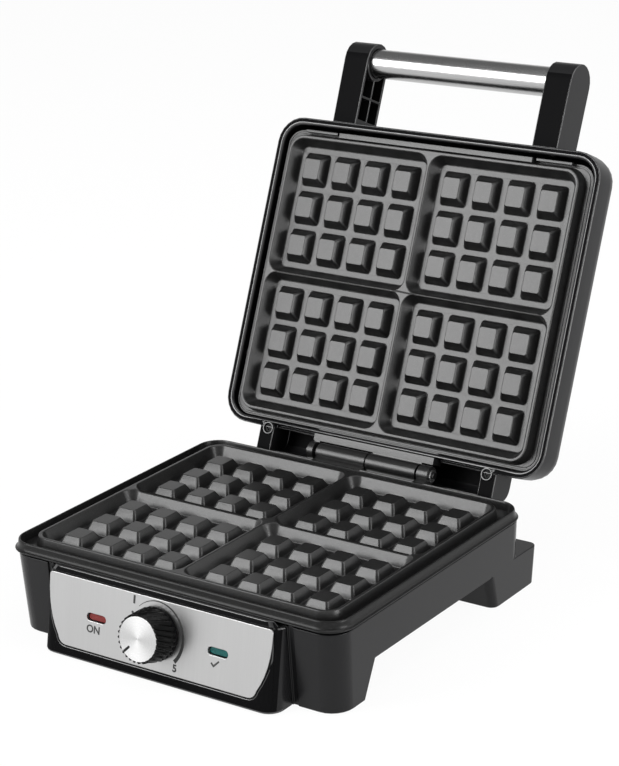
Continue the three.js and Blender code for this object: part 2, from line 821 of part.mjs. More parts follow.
function baseShell() {
  const top = shellTop + cutLap;
  const cavityFloor = shellBottom + shellWall + padRecess;
  let shell = shellOuter().subtract(bellySpace(0));
  bothSides.forEach((sign) => {
    shell = shell.add(rearFoot(sign, 0, shellBottom, footLedge));
  });
  const cavity = shellBody(shellWall, cavityFloor, top).subtract(bellySpace(shellWall));
  shell = shell.subtract(cavity);
  bothSides.forEach((sign) => {
    shell = shell.subtract(rearFoot(sign, shellWall, cavityFloor, footLedge - shellWall));
    const neckInset = shellWall + rootDepth;
    const neck = rearFoot(sign, neckInset, cavityFloor, bellyHeight + shellWall + cutLap);
    shell = shell.subtract(neck.intersect(shellBody(neckInset, shellBottom, shellTop)));
  });
  // Ledge that the bottom cover is screwed to
  const ledgeX = coverHalfX + seatGap;
  const ledgeY = coverHalfY + seatGap;
  const [edgeX, edgeY] = [ledgeX + shellWall / 2, ledgeY + shellWall / 2];
  shell = shell.add(block(-edgeX, edgeX, -edgeY, edgeY, bellyHeight + rootDepth, ledgeTop));
  shell = shell.subtract(block(-ledgeX, ledgeX, -ledgeY, ledgeY, bellyHeight - cutLap, ledgeBottom));
  shell = shell.subtract(
    block(-coverOpeningX, coverOpeningX, -coverOpeningY, coverOpeningY, bellyHeight, ledgeTop + cutLap),
  );
  fourCorners.forEach(([signX, signY]) => {
    const [x, y] = [signX * coverScrewX, signY * coverScrewY];
    shell = shell.add(rodZ(screwHeadRadius, x, y, ledgeTop - rootDepth, ledgeBottom + screwLength));
    shell = shell.subtract(
      rodZ(screwRadius + seatGap, x, y, ledgeBottom - cutLap, ledgeBottom + screwLength + cutLap),
    );
    shell = shell.subtract(padBlock(signX, signY, seatGap, -cutLap, shellBottom + padRecess));
  });
  // Ribs that the lower plate rests on
  const ribTop = faceHeight + plateUnderside - seatGap;
  const ribRoom = shellBody(shellWall / 2, shellBottom, shellTop);
  const ribInner = shellHalfWidth - shellWall - ribReach;
  bothSides.forEach((sign) => {
    const y = sign * shellFront * ribSpanShare;
    const bar = block(
      -shellHalfWidth,
      shellHalfWidth,
      y - ribThickness / 2,
      y + ribThickness / 2,
      ledgeTop - rootDepth,
      ribTop,
    );
    const middle = block(-ribInner, ribInner, -shellFront, shellRear, bellyHeight, ribTop + cutLap);
    shell = shell.add(bar.subtract(middle).intersect(ribRoom));
    const x = sign * shellHalfWidth * ribSpanShare;
    const rail = block(
      x - ribThickness / 2, x + ribThickness / 2, -shellFront, shellRear, ledgeTop - rootDepth, ribTop,
    );
    const inside = shellFront - shellWall - ribReach;
    const clear = block(-shellHalfWidth, shellHalfWidth, -inside, inside, bellyHeight, ribTop + cutLap);
    shell = shell.add(rail.subtract(clear).intersect(ribRoom));
  });
  // Upright grooves beside the console, the thermostat opening and the hole of the gland
  bothSides.forEach((sign) => {
    const x0 = sign * (consoleHalfWidth + seatGap);
    const x1 = x0 + sign * grooveWidth;
    const ends = [Math.min(x0, x1), Math.max(x0, x1)];
    const channel = block(...ends, -shellFront - cutLap, 0, -cutLap, top);
    shell = shell.subtract(channel.subtract(shellBody(grooveDepth, -cutLap, top + cutLap)));
  });
  const windowX = bracketWidth / 2 + consoleWall;
  const windowTop = panelTop - consoleWall * 2;
  const windowRear = -shellFront + shellDraftFront + shellWall + cutLap;
  shell = shell.subtract(
    block(-windowX, windowX, -shellFront - cutLap, windowRear, shellBottom + shellWall * 3, windowTop),
  );
  bothSides.forEach((sign) => {
    const x = sign * lensSpacing;
    const half = lampLength / 2 + seatGap * 2;
    const z = panelTop - lensDrop;
    shell = shell.subtract(
      block(x - half, x + half, -shellFront - cutLap, windowRear, z - half, z + half),
    );
  });
  return shell.subtract(rodY(
    glandRadius + seatGap,
    glandX,
    shellRear - shellWall - cutLap * 2,
    shellRear + cutLap,
    glandHeight,
    roundSides,
  ));
}

function bottomCover() {
  let cover = block(
    -coverHalfX, coverHalfX, -coverHalfY, coverHalfY, bellyHeight, bellyHeight + coverThickness,
  );
  fourCorners.forEach(([signX, signY]) => {
    const [x, y] = [signX * coverScrewX, signY * coverScrewY];
    cover = cover.subtract(rodZ(screwRadius + seatGap, x, y, bellyHeight - cutLap, ledgeBottom));
  });
  for (let i = 0; i < coverSlots; i += 1) {
    const y = (i - (coverSlots - 1) / 2) * coverSlotPitch;
    const halfX = coverSlotLength / 2;
    const halfY = coverSlotWidth / 2;
    cover = cover.subtract(
      block(-halfX, halfX, y - halfY, y + halfY, bellyHeight - cutLap, ledgeBottom),
    );
  }
  return cover;
}

function bottomScrew([signX, signY]) {
  const seat = bellyHeight - seatGap;
  return screw(signX * coverScrewX, signY * coverScrewY, seat, seat + screwLength + coverThickness);
}

function footPad(signX, signY) {
  return padBlock(signX, signY, 0, 0, shellBottom + padRecess - seatGap);
}

// Control console: frame of the sloping panel, +Y up the slope and +Z out of its face

const panelTurn = new THREE.Euler(rad(90 - panelLean), 0, 0);
const panelPlace = new THREE.Vector3(0, -panelTopFront, panelTop);
const panelMatrix = new THREE.Matrix4().compose(
  panelPlace, new THREE.Quaternion().setFromEuler(panelTurn), new THREE.Vector3(1, 1, 1),
);

function inPanel(geometry) {
  return solid(geometry.applyMatrix4(panelMatrix));
}

function panelPrism(points, z0, z1) {
  const geometry = new THREE.ExtrudeGeometry(
    new THREE.Shape(points), { depth: z1 - z0, bevelEnabled: false },
  );
  geometry.translate(0, 0, z0);
  return inPanel(geometry);
}

function circle(radius, x, y, sides = roundSides) {
  const points = [];
  for (let i = 0; i < sides; i += 1) {
    const angle = (i / sides) * 2 * Math.PI;
    points.push(new THREE.Vector2(x + radius * Math.cos(angle), y + radius * Math.sin(angle)));
  }
  return points;
}

// Faceplate outline, sides bending in towards the bottom
function faceOutline(grow) {
  const shape = new THREE.Shape();
  const topHalf = plateTopHalf + grow;
  const bottomHalf = plateBottomHalf + grow;
  const low = -plateLength - grow;
  const topCorner = plateTopCorner + grow;
  const bottomCorner = plateBottomCorner + grow;
  const bendY = low + (grow - low) * (1 - plateSideShare);
  shape.moveTo(-topHalf + topCorner, grow);
  shape.quadraticCurveTo(-topHalf, grow, -topHalf, grow - topCorner);
  shape.quadraticCurveTo(
    -topHalf, bendY - bottomCorner, -bottomHalf - bottomCorner / 4, low + bottomCorner,
  );
  shape.quadraticCurveTo(-bottomHalf, low, -bottomHalf + bottomCorner, low);
  shape.lineTo(bottomHalf - bottomCorner, low);
  shape.quadraticCurveTo(bottomHalf, low, bottomHalf + bottomCorner / 4, low + bottomCorner);
  shape.quadraticCurveTo(topHalf, bendY - bottomCorner, topHalf, grow - topCorner);
  shape.quadraticCurveTo(topHalf, grow, topHalf - topCorner, grow);
  return shape.getPoints(cornerSteps);
}

function consoleOutline(z, inset) {
  const slope = Math.tan(rad(panelLean));
  const face = -panelTopFront - slope * (panelTop - z);
  const rise = Math.max(0, (z - panelTop) / (consoleTop - panelTop));
  const front = z > panelTop ? THREE.MathUtils.lerp(-panelTopFront, -consoleTopFront, rise) : face;
  const halfX = consoleHalfWidth - consoleTopInset * rise - inset;
  const tuck = Math.max(0, consoleBottom + consoleBottomRound - z) / 2;
  const radius = Math.max(consoleCornerRadius - inset, shellWall);
  return roundedOutline(halfX, front + inset + tuck, 0, radius);
}

const consoleDepth = faceThickness + seatGap;

function controlHousing() {
  const levels = (inset, bottom, middle, top) =>
    [bottom, bottom + consoleBottomRound, middle, top].map((z) => [z, consoleOutline(z, inset)]);
  let body = loft(levels(0, consoleBottom, panelTop, consoleTop));
  body = body.subtract(shellBody(-seatGap, -cutLap, shellTop + seatGap));
  const lipClear = shellHalfWidth + lipFlare + lipShadow;
  const lipOutline = roundedOutline(
    lipClear, -shellFront - lipFlare - lipShadow, shellRear, shellCornerRadius + lipFlare,
  );
  body = body.subtract(prism(lipOutline, shellTop, consoleTop + cutLap));
  const wall = consoleWall;
  const hollow = loft(
    [
      consoleBottom + wall, panelTop - wall, shellTop - wall,
    ].map((z) => [z, consoleOutline(z, wall + consoleDepth)]),
  );
  body = body.subtract(hollow);
  body = body.subtract(panelPrism(faceOutline(faceBorder), -consoleDepth, consoleDepth + cutLap));
  const through = -consoleDepth - consoleWall * 2 - cutLap;
  bothSides.forEach((sign) => {
    const slot = pillOutline(lensLength + seatGap * 2, lensHeight + seatGap * 2);
    const placed = slot.map((p) => new THREE.Vector2(p.x + sign * lensSpacing, p.y - lensDrop));
    body = body.subtract(panelPrism(placed, through, cutLap));
    const x = (sign * bracketWidth * 3) / 8;
    body = body.add(panelPrism(circle(
      bracketBossRadius, x, -knobDrop, smallSides,
    ), bracketFront + seatGap, housingFace - rootDepth));
  });
  return body.subtract(panelPrism(circle(shaftRadius + seatGap * 2, 0, -knobDrop), through, cutLap));
}

// Heights in the panel's frame, from the face inwards
const housingFace = -consoleDepth - consoleWall / 2;
const bracketFront = -consoleDepth - consoleWall - bracketBoss - seatGap;
const bracketBack = bracketFront - bracketThickness;
const thermostatFront = bracketBack - seatGap;
const thermostatBack = thermostatFront - thermostatDepth;

function faceplate() {
  let plate = prism(faceOutline(0), -faceThickness, 0);
  bothSides.forEach((sign) => {
    const slot = pillOutline(lensLength + seatGap * 2, lensHeight + seatGap * 2);
    const placed = slot.map((p) => new THREE.Vector2(p.x + sign * lensSpacing, p.y - lensDrop));
    plate = plate.subtract(prism(placed, -faceThickness - cutLap, cutLap));
  });
  return plate.subtract(rodZ(shaftRadius + seatGap * 2, 0, -knobDrop, -faceThickness - cutLap, cutLap));
}

// Lens with a flange behind the console wall, and the lamp behind it, at their own place
const lensBack = -consoleDepth - consoleWall * 2 - seatGap;

function lens() {
  const stem = prism(pillOutline(lensLength, lensHeight), lensBack, -lensRecess);
  const flange = pillOutline(lensLength + lensFlange * 2, lensHeight + lensFlange * 2);
  return stem.add(prism(flange, lensBack - lensFlangeThickness, lensBack));
}

function lamp() {
  const z = lensBack - lensFlangeThickness - seatGap - lampRadius;
  return rodX(lampRadius, -lampLength / 2, lampLength / 2, 0, z);
}

// Knob, drawn about its own axis with the faceplate at zero

function flutedOutline(radius, turn) {
  const points = [];
  for (let i = 0; i < knobFlutes; i += 1) {
    [0, 0.5].forEach((half) => {
      const angle = ((i + half) / knobFlutes) * 2 * Math.PI + rad(turn);
      const reach = half === 0 ? radius : radius - knobFluteDepth;
      points.push(new THREE.Vector2(reach * Math.cos(angle), reach * Math.sin(angle)));
    });
  }
  return points;
}

const capSeat = knobHeight - capThickness - seatGap;

function knob() {
  const bottom = seatGap;
  const foot = rodZ(knobFootRadius, 0, 0, bottom, knobFootHeight, roundSides * 2);
  const grip = loft([
    [knobFootHeight - rootDepth, flutedOutline(knobBackRadius, 0)],
    [knobHeight, flutedOutline(knobFrontRadius, knobFluteTwist)],
  ]);
  let body = foot.add(grip);
  body = body.subtract(rodZ(capRadius + seatGap, 0, 0, capSeat, knobHeight + cutLap, roundSides * 2));
  const hollow = rodZ(
    knobFrontRadius - knobFluteDepth - knobWall, 0, 0, bottom - cutLap, capSeat - knobWall, roundSides,
  );
  body = body.subtract(
    hollow.subtract(rodZ(knobHubRadius, 0, 0, bottom - cutLap * 2, capSeat, roundSides)),
  );
  const boreTop = capSeat - knobWall;
  return body.subtract(rodZ(shaftRadius + seatGap, 0, 0, bottom - cutLap, boreTop));
}

function pointerBar(grow, z0, z1) {
  const length = pointerLength + grow * 2;
  const middle = capRadius - pointerMargin - pointerLength / 2;
  const half = (pointerWidth + grow * 2) / 2;
  const turn = rad(90 - pointerAngle);
  const points = [
    [-length / 2, -half],
    [length / 2, -half],
    [length / 2, half],
    [-length / 2, half],
  ].map(([along, across]) => {
    const out = middle + along;
    const x = out * Math.cos(turn) - across * Math.sin(turn);
    const y = out * Math.sin(turn) + across * Math.cos(turn);
    return new THREE.Vector2(x, y);
  });
  return prism(points, z0, z1);
}

function knobCap() {
  const disc = rodZ(capRadius, 0, 0, capSeat + seatGap, knobHeight, roundSides * 2);
  return disc.subtract(pointerBar(seatGap, capSeat, knobHeight + cutLap));
}

function knobPointer() {
  return pointerBar(0, capSeat + seatGap, knobHeight);
}

function thermostatShaft() {
  const top = capSeat - knobWall - seatGap;
  return rodZ(shaftRadius, 0, 0, thermostatFront + seatGap, top);
}

function thermostatBracket() {
  const sheet = block(
    -bracketWidth / 2,
    bracketWidth / 2,
    -bracketHeight / 2,
    bracketHeight / 2,
    bracketBack,
    bracketFront,
  );
  return sheet.subtract(rodZ(bushRadius + seatGap, 0, 0, bracketBack - cutLap, bracketFront + cutLap));
}

const bushEnd = bracketFront + seatGap + nutThickness;

function thermostat() {
  const can = rodZ(thermostatRadius, 0, 0, thermostatBack, thermostatFront, roundSides);
  let body = can.add(rodZ(bushRadius, 0, 0, thermostatFront - rootDepth, bushEnd));
  body = body.subtract(rodZ(shaftRadius + seatGap, 0, 0, thermostatFront, bushEnd + cutLap));
  bothSides.forEach((sign) => {
    const x = (sign * thermostatRadius) / 2;
    const half = thermostatTabThickness / 2;
    const tab = block(
      x - half,
      x + half,
      -thermostatTab / 4,
      thermostatTab / 4,
      thermostatBack - thermostatTab,
      thermostatBack + rootDepth,
    );
    body = body.add(tab);
  });
  return body;
}

function thermostatNut() {
  const nut = rodZ(nutRadius, 0, 0, bracketFront + seatGap, bushEnd, 6);
  return nut.subtract(rodZ(bushRadius + seatGap, 0, 0, bracketFront, bushEnd + cutLap));
}

// Wiring in the base

const wiringFloor = bellyHeight + coverThickness;

function terminalBlock() {
  const z0 = wiringFloor + seatGap;
  let body = block(
    blockX - blockLength / 2,
    blockX + blockLength / 2,
    blockY - blockWidth / 2,
    blockY + blockWidth / 2,
    z0,
    z0 + blockHeight,
  );
  for (let way = 0; way < blockWays; way += 1) {
    const x = blockX + ((way + 0.5) / blockWays - 0.5) * blockLength;
    body = body.subtract(rodY(
      leadRadius + seatGap,
      x,
      blockY - blockWidth,
      blockY + blockWidth,
      z0 + blockHeight / 3,
      tubeSides,
    ));
    body = body.subtract(
      rodZ(leadRadius + seatGap, x, blockY, z0 + blockHeight / 3, z0 + blockHeight + cutLap, tubeSides),
    );
  }
  return body;
}

function thermalFuse() {
  const z = faceHeight + shieldBottom - seatGap - fuseRadius;
  return rodX(fuseRadius, fuseX - fuseLength / 2, fuseX + fuseLength / 2, 0, z);
}

function cordGland() {
  const inside = shellRear - shellWall - seatGap * 2 - shellDraftRear;
  const outside = shellRear + glandFlangeThickness;
  const neck = rodY(
    glandRadius, glandX, inside - rootDepth, outside - rootDepth, glandHeight, roundSides,
  );
  const flange = rodY(glandFlange, glandX, shellRear + seatGap, outside, glandHeight, roundSides);
  const lock = rodY(glandFlange, glandX, inside - glandNeck, inside, glandHeight, roundSides);
  return neck.add(flange).add(lock).subtract(
    rodY(glandBore, glandX, 0, shellRear * 2, glandHeight, smallSides),
  );
}

// Lid shell, in the lid's frame

function lidOutline(inset) {
  const radius = Math.max(lidCornerRadius - inset, shellWall);
  return roundedOutline(lidHalfWidth - inset, -lidHingeEdge + inset, lidFreeEdge - inset, radius);
}

function lidBody(inset, top, back) {
  const radius = lidFillet - inset;
  const levels = [];
  for (let step = 0; step <= filletSteps; step += 1) {
    const angle = (step / filletSteps) * (Math.PI / 2);
    const into = radius * (1 - Math.sin(angle));
    levels.push([-back + radius * (1 - Math.cos(angle)), lidOutline(inset + into)]);
  }
  levels.push([top, lidOutline(inset)]);
  return loft(levels);
}

function housingProfile(inset) {
  const rear = -lidHingeEdge - housingReach + inset;
  const back = -housingBack + inset;
  const radius = housingRound - inset;
  const points = [new THREE.Vector2(rear, cutLap), new THREE.Vector2(rear, back + radius)];
  for (let step = 1; step <= filletSteps; step += 1) {
    const angle = (step / filletSteps) * (Math.PI / 2);
    points.push(
      new THREE.Vector2(rear + radius * (1 - Math.cos(angle)), back + radius * (1 - Math.sin(angle))),
    );
  }
  return points.reverse();
}

function lidShell() {
  const inside = lidHingeEdge - lidWall - lidRimWidth;
  const outerProfile = [
    ...housingProfile(0), new THREE.Vector2(-inside, cutLap), new THREE.Vector2(-inside, -housingBack),
  ];
  const cut = block(-lidHalfWidth, lidHalfWidth, -lidHingeEdge * 2, 0, -housingFront, cutLap * 2);
  const house = sidePrism(outerProfile, -housingHalfWidth, housingHalfWidth).subtract(cut);
  let shell = lidBody(0, -lidRim, lidBack).add(house);
  const cavityTop = -lidRim - lidRimThickness;
  shell = shell.subtract(lidBody(lidWall, cavityTop, lidBack - lidWall));
  shell = shell.subtract(prism(lidOutline(lidRimWidth), cavityTop - cutLap, cutLap));
  const earInner = housingHalfWidth - earThickness;
  const roomProfile = [
    ...housingProfile(lidWall),
    new THREE.Vector2(-lidHingeEdge, cutLap),
    new THREE.Vector2(-lidHingeEdge, -housingBack + lidWall),
  ];
  shell = shell.subtract(sidePrism(roomProfile, -earInner, earInner));
  const sill = -lidHingeEdge - housingReach;
  shell = shell.subtract(
    block(-earInner, earInner, sill - cutLap, sill + lidWall + cutLap, -housingSill, cutLap),
  );
  shell = shell.subtract(block(
    -earInner,
    earInner,
    -lidHingeEdge - cutLap,
    -lidHingeEdge + rimSetback,
    -rimSetbackDepth,
    cutLap,
  ));
  // Opening for the hinge strip of the upper plate
  const stripX0 = hingeStripLeft - plateSideGap;
  const stripX1 = hingeStripRight + plateSideGap;
  shell = shell.subtract(block(
    stripX0,
    stripX1,
    -lidHingeEdge - cutLap,
    -lidHingeEdge + lidRimWidth + cutLap,
    plateUnderside - seatGap,
    cavityTop,
  ));
  // Ribs that carry the upper plate
  const ribTop = plateUnderside - seatGap;
  bothSides.forEach((sign) => {
    bothSides.forEach((end) => {
      const y = end * lidHingeEdge * ribSpanShare;
      const x0 = sign * (lidHalfWidth - lidWall / 2);
      const x1 = x0 - sign * (ribReach + lidRimWidth);
      const ends = [Math.min(x0, x1), Math.max(x0, x1)];
      const rib = block(...ends, y - ribThickness / 2, y + ribThickness / 2, -lidBack, ribTop);
      shell = shell.add(rib.intersect(lidBody(lidWall / 2, 0, lidBack - lidWall / 2)));
    });
    const x = sign * (housingHalfWidth - earScrewInset);
    const y = -lidHingeEdge - earScrewOffset;
    const recess = rodZ(earScrewHead + seatGap, x, y, -housingFront - earScrewRecess, 0, roundSides);
    const bore = rodZ(
      screwRadius + seatGap, x, y, -housingFront - earScrewRecess - screwLength, 0, tubeSides,
    );
    shell = shell.subtract(recess).subtract(bore);
    const [screwX, screwZ] = armScrewPlace(sign);
    const hole = rodY(
      screwRadius + seatGap,
      screwX,
      lidFreeEdge - lidWall - cutLap,
      lidFreeEdge + cutLap,
      screwZ,
      tubeSides,
    );
    shell = shell.subtract(hole);
  });
  return shell;
}

function hingeScrew(sign) {
  const x = sign * (housingHalfWidth - earScrewInset);
  const y = -lidHingeEdge - earScrewOffset;
  const seat = -housingFront - earScrewRecess + seatGap;
  const head = rodZ(earScrewHead, x, y, seat, seat + earScrewRecess - seatGap * 2, smallSides);
  return head.add(
    rodZ(screwRadius, x, y, seat - screwLength + seatGap * 3, seat + rootDepth, tubeSides),
  );
}

// Handle, in the lid's frame

const armInnerX = lidHalfWidth - armInset;
const armMiddle = -(armFront + lidBack) / 2;
const armRound = (lidBack - armFront) / 2;
const tubeY = lidFreeEdge + armReach - armRound;

function armProfile(inset, start) {
  const radius = armRound - inset;
  const points = [new THREE.Vector2(start, armMiddle - radius)];
  for (let step = 0; step <= filletSteps * 2; step += 1) {
    const angle = (step / (filletSteps * 2) - 0.5) * Math.PI;
    points.push(
      new THREE.Vector2(tubeY + radius * Math.cos(angle), armMiddle + radius * Math.sin(angle)),
    );
  }
  points.push(new THREE.Vector2(start, armMiddle + radius));
  return points;
}

function armScrewPlace(sign) {
  const x = sign * (armInnerX + armWidth - armWall - screwHeadRadius);
  return [x, armMiddle + armRound / 2];
}

// Prism across an arm, its outer end leaning out towards the top
function armPrism(sign, points, inner, outer) {
  const geometry = new THREE.ExtrudeGeometry(
    new THREE.Shape(points), { depth: 1, bevelEnabled: false },
  );
  geometry.applyMatrix4(new THREE.Matrix4().makeBasis(unitY, unitZ, unitX));
  const place = geometry.attributes.position;
  for (let i = 0; i < place.count; i += 1) {
    const lean = (armFlare * (place.getY(i) - lidFreeEdge)) / armReach;
    const far = sign < 0 ? place.getX(i) < 0.5 : place.getX(i) > 0.5;
    place.setX(i, sign * (far ? outer + lean : inner));
  }
  return solid(geometry);
}

function handleArm(sign) {
  const innerX = sign * armInnerX;
  const outerX = sign * (armInnerX + armWidth);
  const span = (a, b) => [Math.min(a, b), Math.max(a, b)];
  const root = lidFreeEdge - lidFillet;
  let arm = armPrism(sign, armProfile(0, root), armInnerX, armInnerX + armWidth);
  const hollowSpan = span(innerX - sign * cutLap, outerX + sign * armFlare);
  const hollowProfile = armProfile(armWall, lidFreeEdge + seatGap + armWall * 2);
  let hollow = armPrism(sign, hollowProfile, armInnerX - cutLap, armInnerX + armWidth - armWall);
  hollow = hollow.subtract(rodX(armBossRadius, ...hollowSpan, tubeY, armMiddle, roundSides));
  const ribZ = [armMiddle - armRib / 2, armMiddle + armRib / 2];
  hollow = hollow.subtract(block(...hollowSpan, root, tubeY, ...ribZ));
  const crossY = lidFreeEdge + armReach * armCrossRibShare;
  hollow = hollow.subtract(
    block(...hollowSpan, crossY - armRib / 2, crossY + armRib / 2, -lidBack, -armFront),
  );
  arm = arm.subtract(hollow);
  const socket = span(innerX - sign * cutLap, innerX + sign * (tubeSocket + seatGap));
  arm = arm.subtract(rodX(tubeRadius + seatGap, ...socket, tubeY, armMiddle, roundSides));
  arm = arm.subtract(lidBody(-seatGap, 0, lidBack + seatGap));
  const [screwX, screwZ] = armScrewPlace(sign);
  return arm.subtract(
    rodY(screwRadius + seatGap, screwX, root, lidFreeEdge + screwLength, screwZ, tubeSides),
  );
}

function handleTube() {
  const reach = armInnerX + tubeSocket;
  const tube = rodX(tubeRadius, -reach, reach, tubeY, armMiddle, roundSides);
  return tube.subtract(
    rodX(tubeRadius - tubeWall, -reach - cutLap, reach + cutLap, tubeY, armMiddle, roundSides),
  );
}

function handleScrew(sign) {
  const [x, z] = armScrewPlace(sign);
  const seat = lidFreeEdge - lidWall - seatGap;
  const shank = rodY(
    screwRadius, x, seat - rootDepth, lidFreeEdge + screwLength - seatGap * 2, z, tubeSides,
  );
  return rodY(screwHeadRadius, x, seat - screwHeadHeight, seat, z).add(shank);
}

// Finishes

function finish(color, roughness, metalness) {
  return () => new THREE.MeshStandardMaterial({ color, roughness, metalness });
}

const blackPlastic = finish(0x1b1b1d, 0.35, 0);
const darkPlastic = finish(0x222224, 0.6, 0);
const coatedCast = finish(0x3a3a3c, 0.45, 0.3);
const brushedSteel = finish(0xc9c9c9, 0.35, 1);
const zincSteel = finish(0x9a9a98, 0.45, 1);
const blackSteel = finish(0x1e1e1f, 0.4, 0.9);
const rubber = finish(0x1a1a1a, 0.9, 0);
const redLens = finish(0xb8322a, 0.2, 0);
const greenLens = finish(0x2c8a78, 0.2, 0);
const lampGlass = finish(0xe0d8c8, 0.2, 0);
const ceramic = finish(0xe6e2d8, 0.7, 0);
const heaterSheath = finish(0x6d6a64, 0.5, 0.9);

function piece(name, body, material, parent) {
  const mesh = new THREE.Mesh(surface(body), material());
  mesh.name = name;
  parent.add(mesh);
  return mesh;
}

// Assembly

const root = new THREE.Group();
const lowerSet = new THREE.Group();
lowerSet.position.z = faceHeight;
const panel = new THREE.Group();
panel.position.copy(panelPlace);
panel.rotation.copy(panelTurn);
const dial = new THREE.Group();
dial.position.y = -knobDrop;
const lid = new THREE.Group();
lid.position.set(0, hingeBack, faceHeight + hingeRise);
lid.rotation.x = rad(180 - openAngle);
const lidSet = new THREE.Group();
lidSet.position.set(0, hingeBack, -lidHingeRise);
root.add(lowerSet, panel, lid);
panel.add(dial);
lid.add(lidSet);

piece("base_shell", baseShell(), blackPlastic, root);
piece("bottom_cover", bottomCover(), darkPlastic, root);
fourCorners.forEach((corner) => {
  piece(`bottom_screw_${baseCorner(corner)}`, bottomScrew(corner), zincSteel, root);
  piece(`foot_pad_${baseCorner(corner)}`, footPad(...corner), rubber, root);
  piece(`lower_plate_screw_${baseCorner(corner)}`, shieldScrew(corner), zincSteel, lowerSet);
  piece(`upper_plate_screw_${lidCorner(corner)}`, shieldScrew(corner), zincSteel, lidSet);
});
bothSides.forEach((sign) => {
  piece(`hinge_clip_${sideName(sign)}`, hingeClip(sign), zincSteel, lowerSet);
  piece(`hinge_screw_${sideName(sign)}`, hingeScrew(sign), blackSteel, lidSet);
  piece(`handle_arm_${sideName(sign)}`, handleArm(sign), blackPlastic, lidSet);
  piece(`handle_screw_${sideName(sign)}`, handleScrew(sign), blackSteel, lidSet);
});
piece("control_housing", controlHousing(), blackPlastic, root);
piece("faceplate", faceplate(), brushedSteel, panel);
piece("lens_red", lens(), redLens, panel).position.set(-lensSpacing, -lensDrop, 0);
piece("lens_green", lens(), greenLens, panel).position.set(lensSpacing, -lensDrop, 0);
piece("lamp_red", lamp(), lampGlass, panel).position.set(-lensSpacing, -lensDrop, 0);
piece("lamp_green", lamp(), lampGlass, panel).position.set(lensSpacing, -lensDrop, 0);
piece("thermostat_bracket", thermostatBracket(), zincSteel, dial);
piece("thermostat", thermostat(), ceramic, dial);
piece("thermostat_nut", thermostatNut(), zincSteel, dial);
piece("thermostat_shaft", thermostatShaft(), zincSteel, dial);
piece("knob", knob(), blackPlastic, dial);
piece("knob_cap", knobCap(), brushedSteel, dial);
piece("knob_pointer", knobPointer(), blackPlastic, dial);
piece("lower_plate", lowerPlate(), coatedCast, lowerSet);
piece("lower_heater", heater(lowerHalfX), heaterSheath, lowerSet);
piece("lower_heat_shield", heatShield(lowerHalfX), zincSteel, lowerSet);
piece("hinge_pin", hingePin(), brushedSteel, lowerSet);
piece("terminal_block", terminalBlock(), ceramic, root);
piece("thermal_fuse", thermalFuse(), ceramic, root);
piece("cord_gland", cordGland(), rubber, root);
piece("lid_shell", lidShell(), blackPlastic, lidSet);
piece("upper_plate", upperPlate(), coatedCast, lidSet);
piece("upper_heater", heater(upperHalfX), heaterSheath, lidSet);
piece("upper_heat_shield", heatShield(upperHalfX), zincSteel, lidSet);
piece("handle_tube", handleTube(), brushedSteel, lidSet);

// The origin lies on the worktop, in the middle of the opened waffle maker
const extent = new THREE.Box3().setFromObject(root, true);
const model = new THREE.Group();
model.add(root);
root.position.y = -(extent.min.y + extent.max.y) / 2;

export default model;
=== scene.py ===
# Four-slice belgian waffle maker with its lid open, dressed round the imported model.
# Lengths are in millimetres. A piece is drawn in the frame of the base, the lower plate, the
# lid or the sloped panel, and then takes its place in the model.
import json
import math

import bmesh
import bpy
from mathutils import Matrix, Vector
from mathutils.geometry import tessellate_polygon


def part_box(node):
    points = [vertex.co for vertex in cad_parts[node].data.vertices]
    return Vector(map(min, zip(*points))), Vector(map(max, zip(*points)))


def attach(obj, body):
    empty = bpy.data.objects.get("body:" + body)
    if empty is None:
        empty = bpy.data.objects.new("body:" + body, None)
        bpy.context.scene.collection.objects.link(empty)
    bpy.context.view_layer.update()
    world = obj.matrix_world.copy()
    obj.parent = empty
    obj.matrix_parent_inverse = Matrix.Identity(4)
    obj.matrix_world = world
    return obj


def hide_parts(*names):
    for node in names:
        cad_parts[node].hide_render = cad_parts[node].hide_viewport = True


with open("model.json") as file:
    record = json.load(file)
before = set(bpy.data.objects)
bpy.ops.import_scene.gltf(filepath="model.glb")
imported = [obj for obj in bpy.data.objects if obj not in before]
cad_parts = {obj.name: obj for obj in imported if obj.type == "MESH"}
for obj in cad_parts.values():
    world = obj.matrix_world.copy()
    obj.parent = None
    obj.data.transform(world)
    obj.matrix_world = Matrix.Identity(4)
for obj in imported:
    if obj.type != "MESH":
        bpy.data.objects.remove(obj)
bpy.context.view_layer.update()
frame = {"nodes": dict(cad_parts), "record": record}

scene = bpy.context.scene
rad = math.radians
both_sides = (-1, 1)
corner_sides = ((1, -1), (1, 1), (-1, 1), (-1, -1))  # counterclockwise


def placed(name, data):
    """A new object in the scene."""
    thing = bpy.data.objects.new(name, data)
    scene.collection.objects.link(thing)
    return thing


# Camera, at the photograph's angle and placed in metres
camera_place = (0.901721, -1.297154, 0.694895)
camera_right = (0.82383651, 0.56616567, -0.0273833)
camera_up = (-0.16271206, 0.28248885, 0.94537021)
camera_back = (0.54297163, -0.7743749, 0.3248466)
camera_lens = 109.55
camera_film = 36
camera_far = 60


def make_camera():
    data = bpy.data.cameras.new("camera")
    data.sensor_fit = "VERTICAL"
    data.sensor_height = camera_film
    data.lens = camera_lens
    data.clip_end = camera_far
    camera = placed("camera", data)
    turn = Matrix((camera_right, camera_up, camera_back)).transposed()
    camera.matrix_world = Matrix.Translation(camera_place) @ turn.to_4x4()
    scene.camera = camera


make_camera()

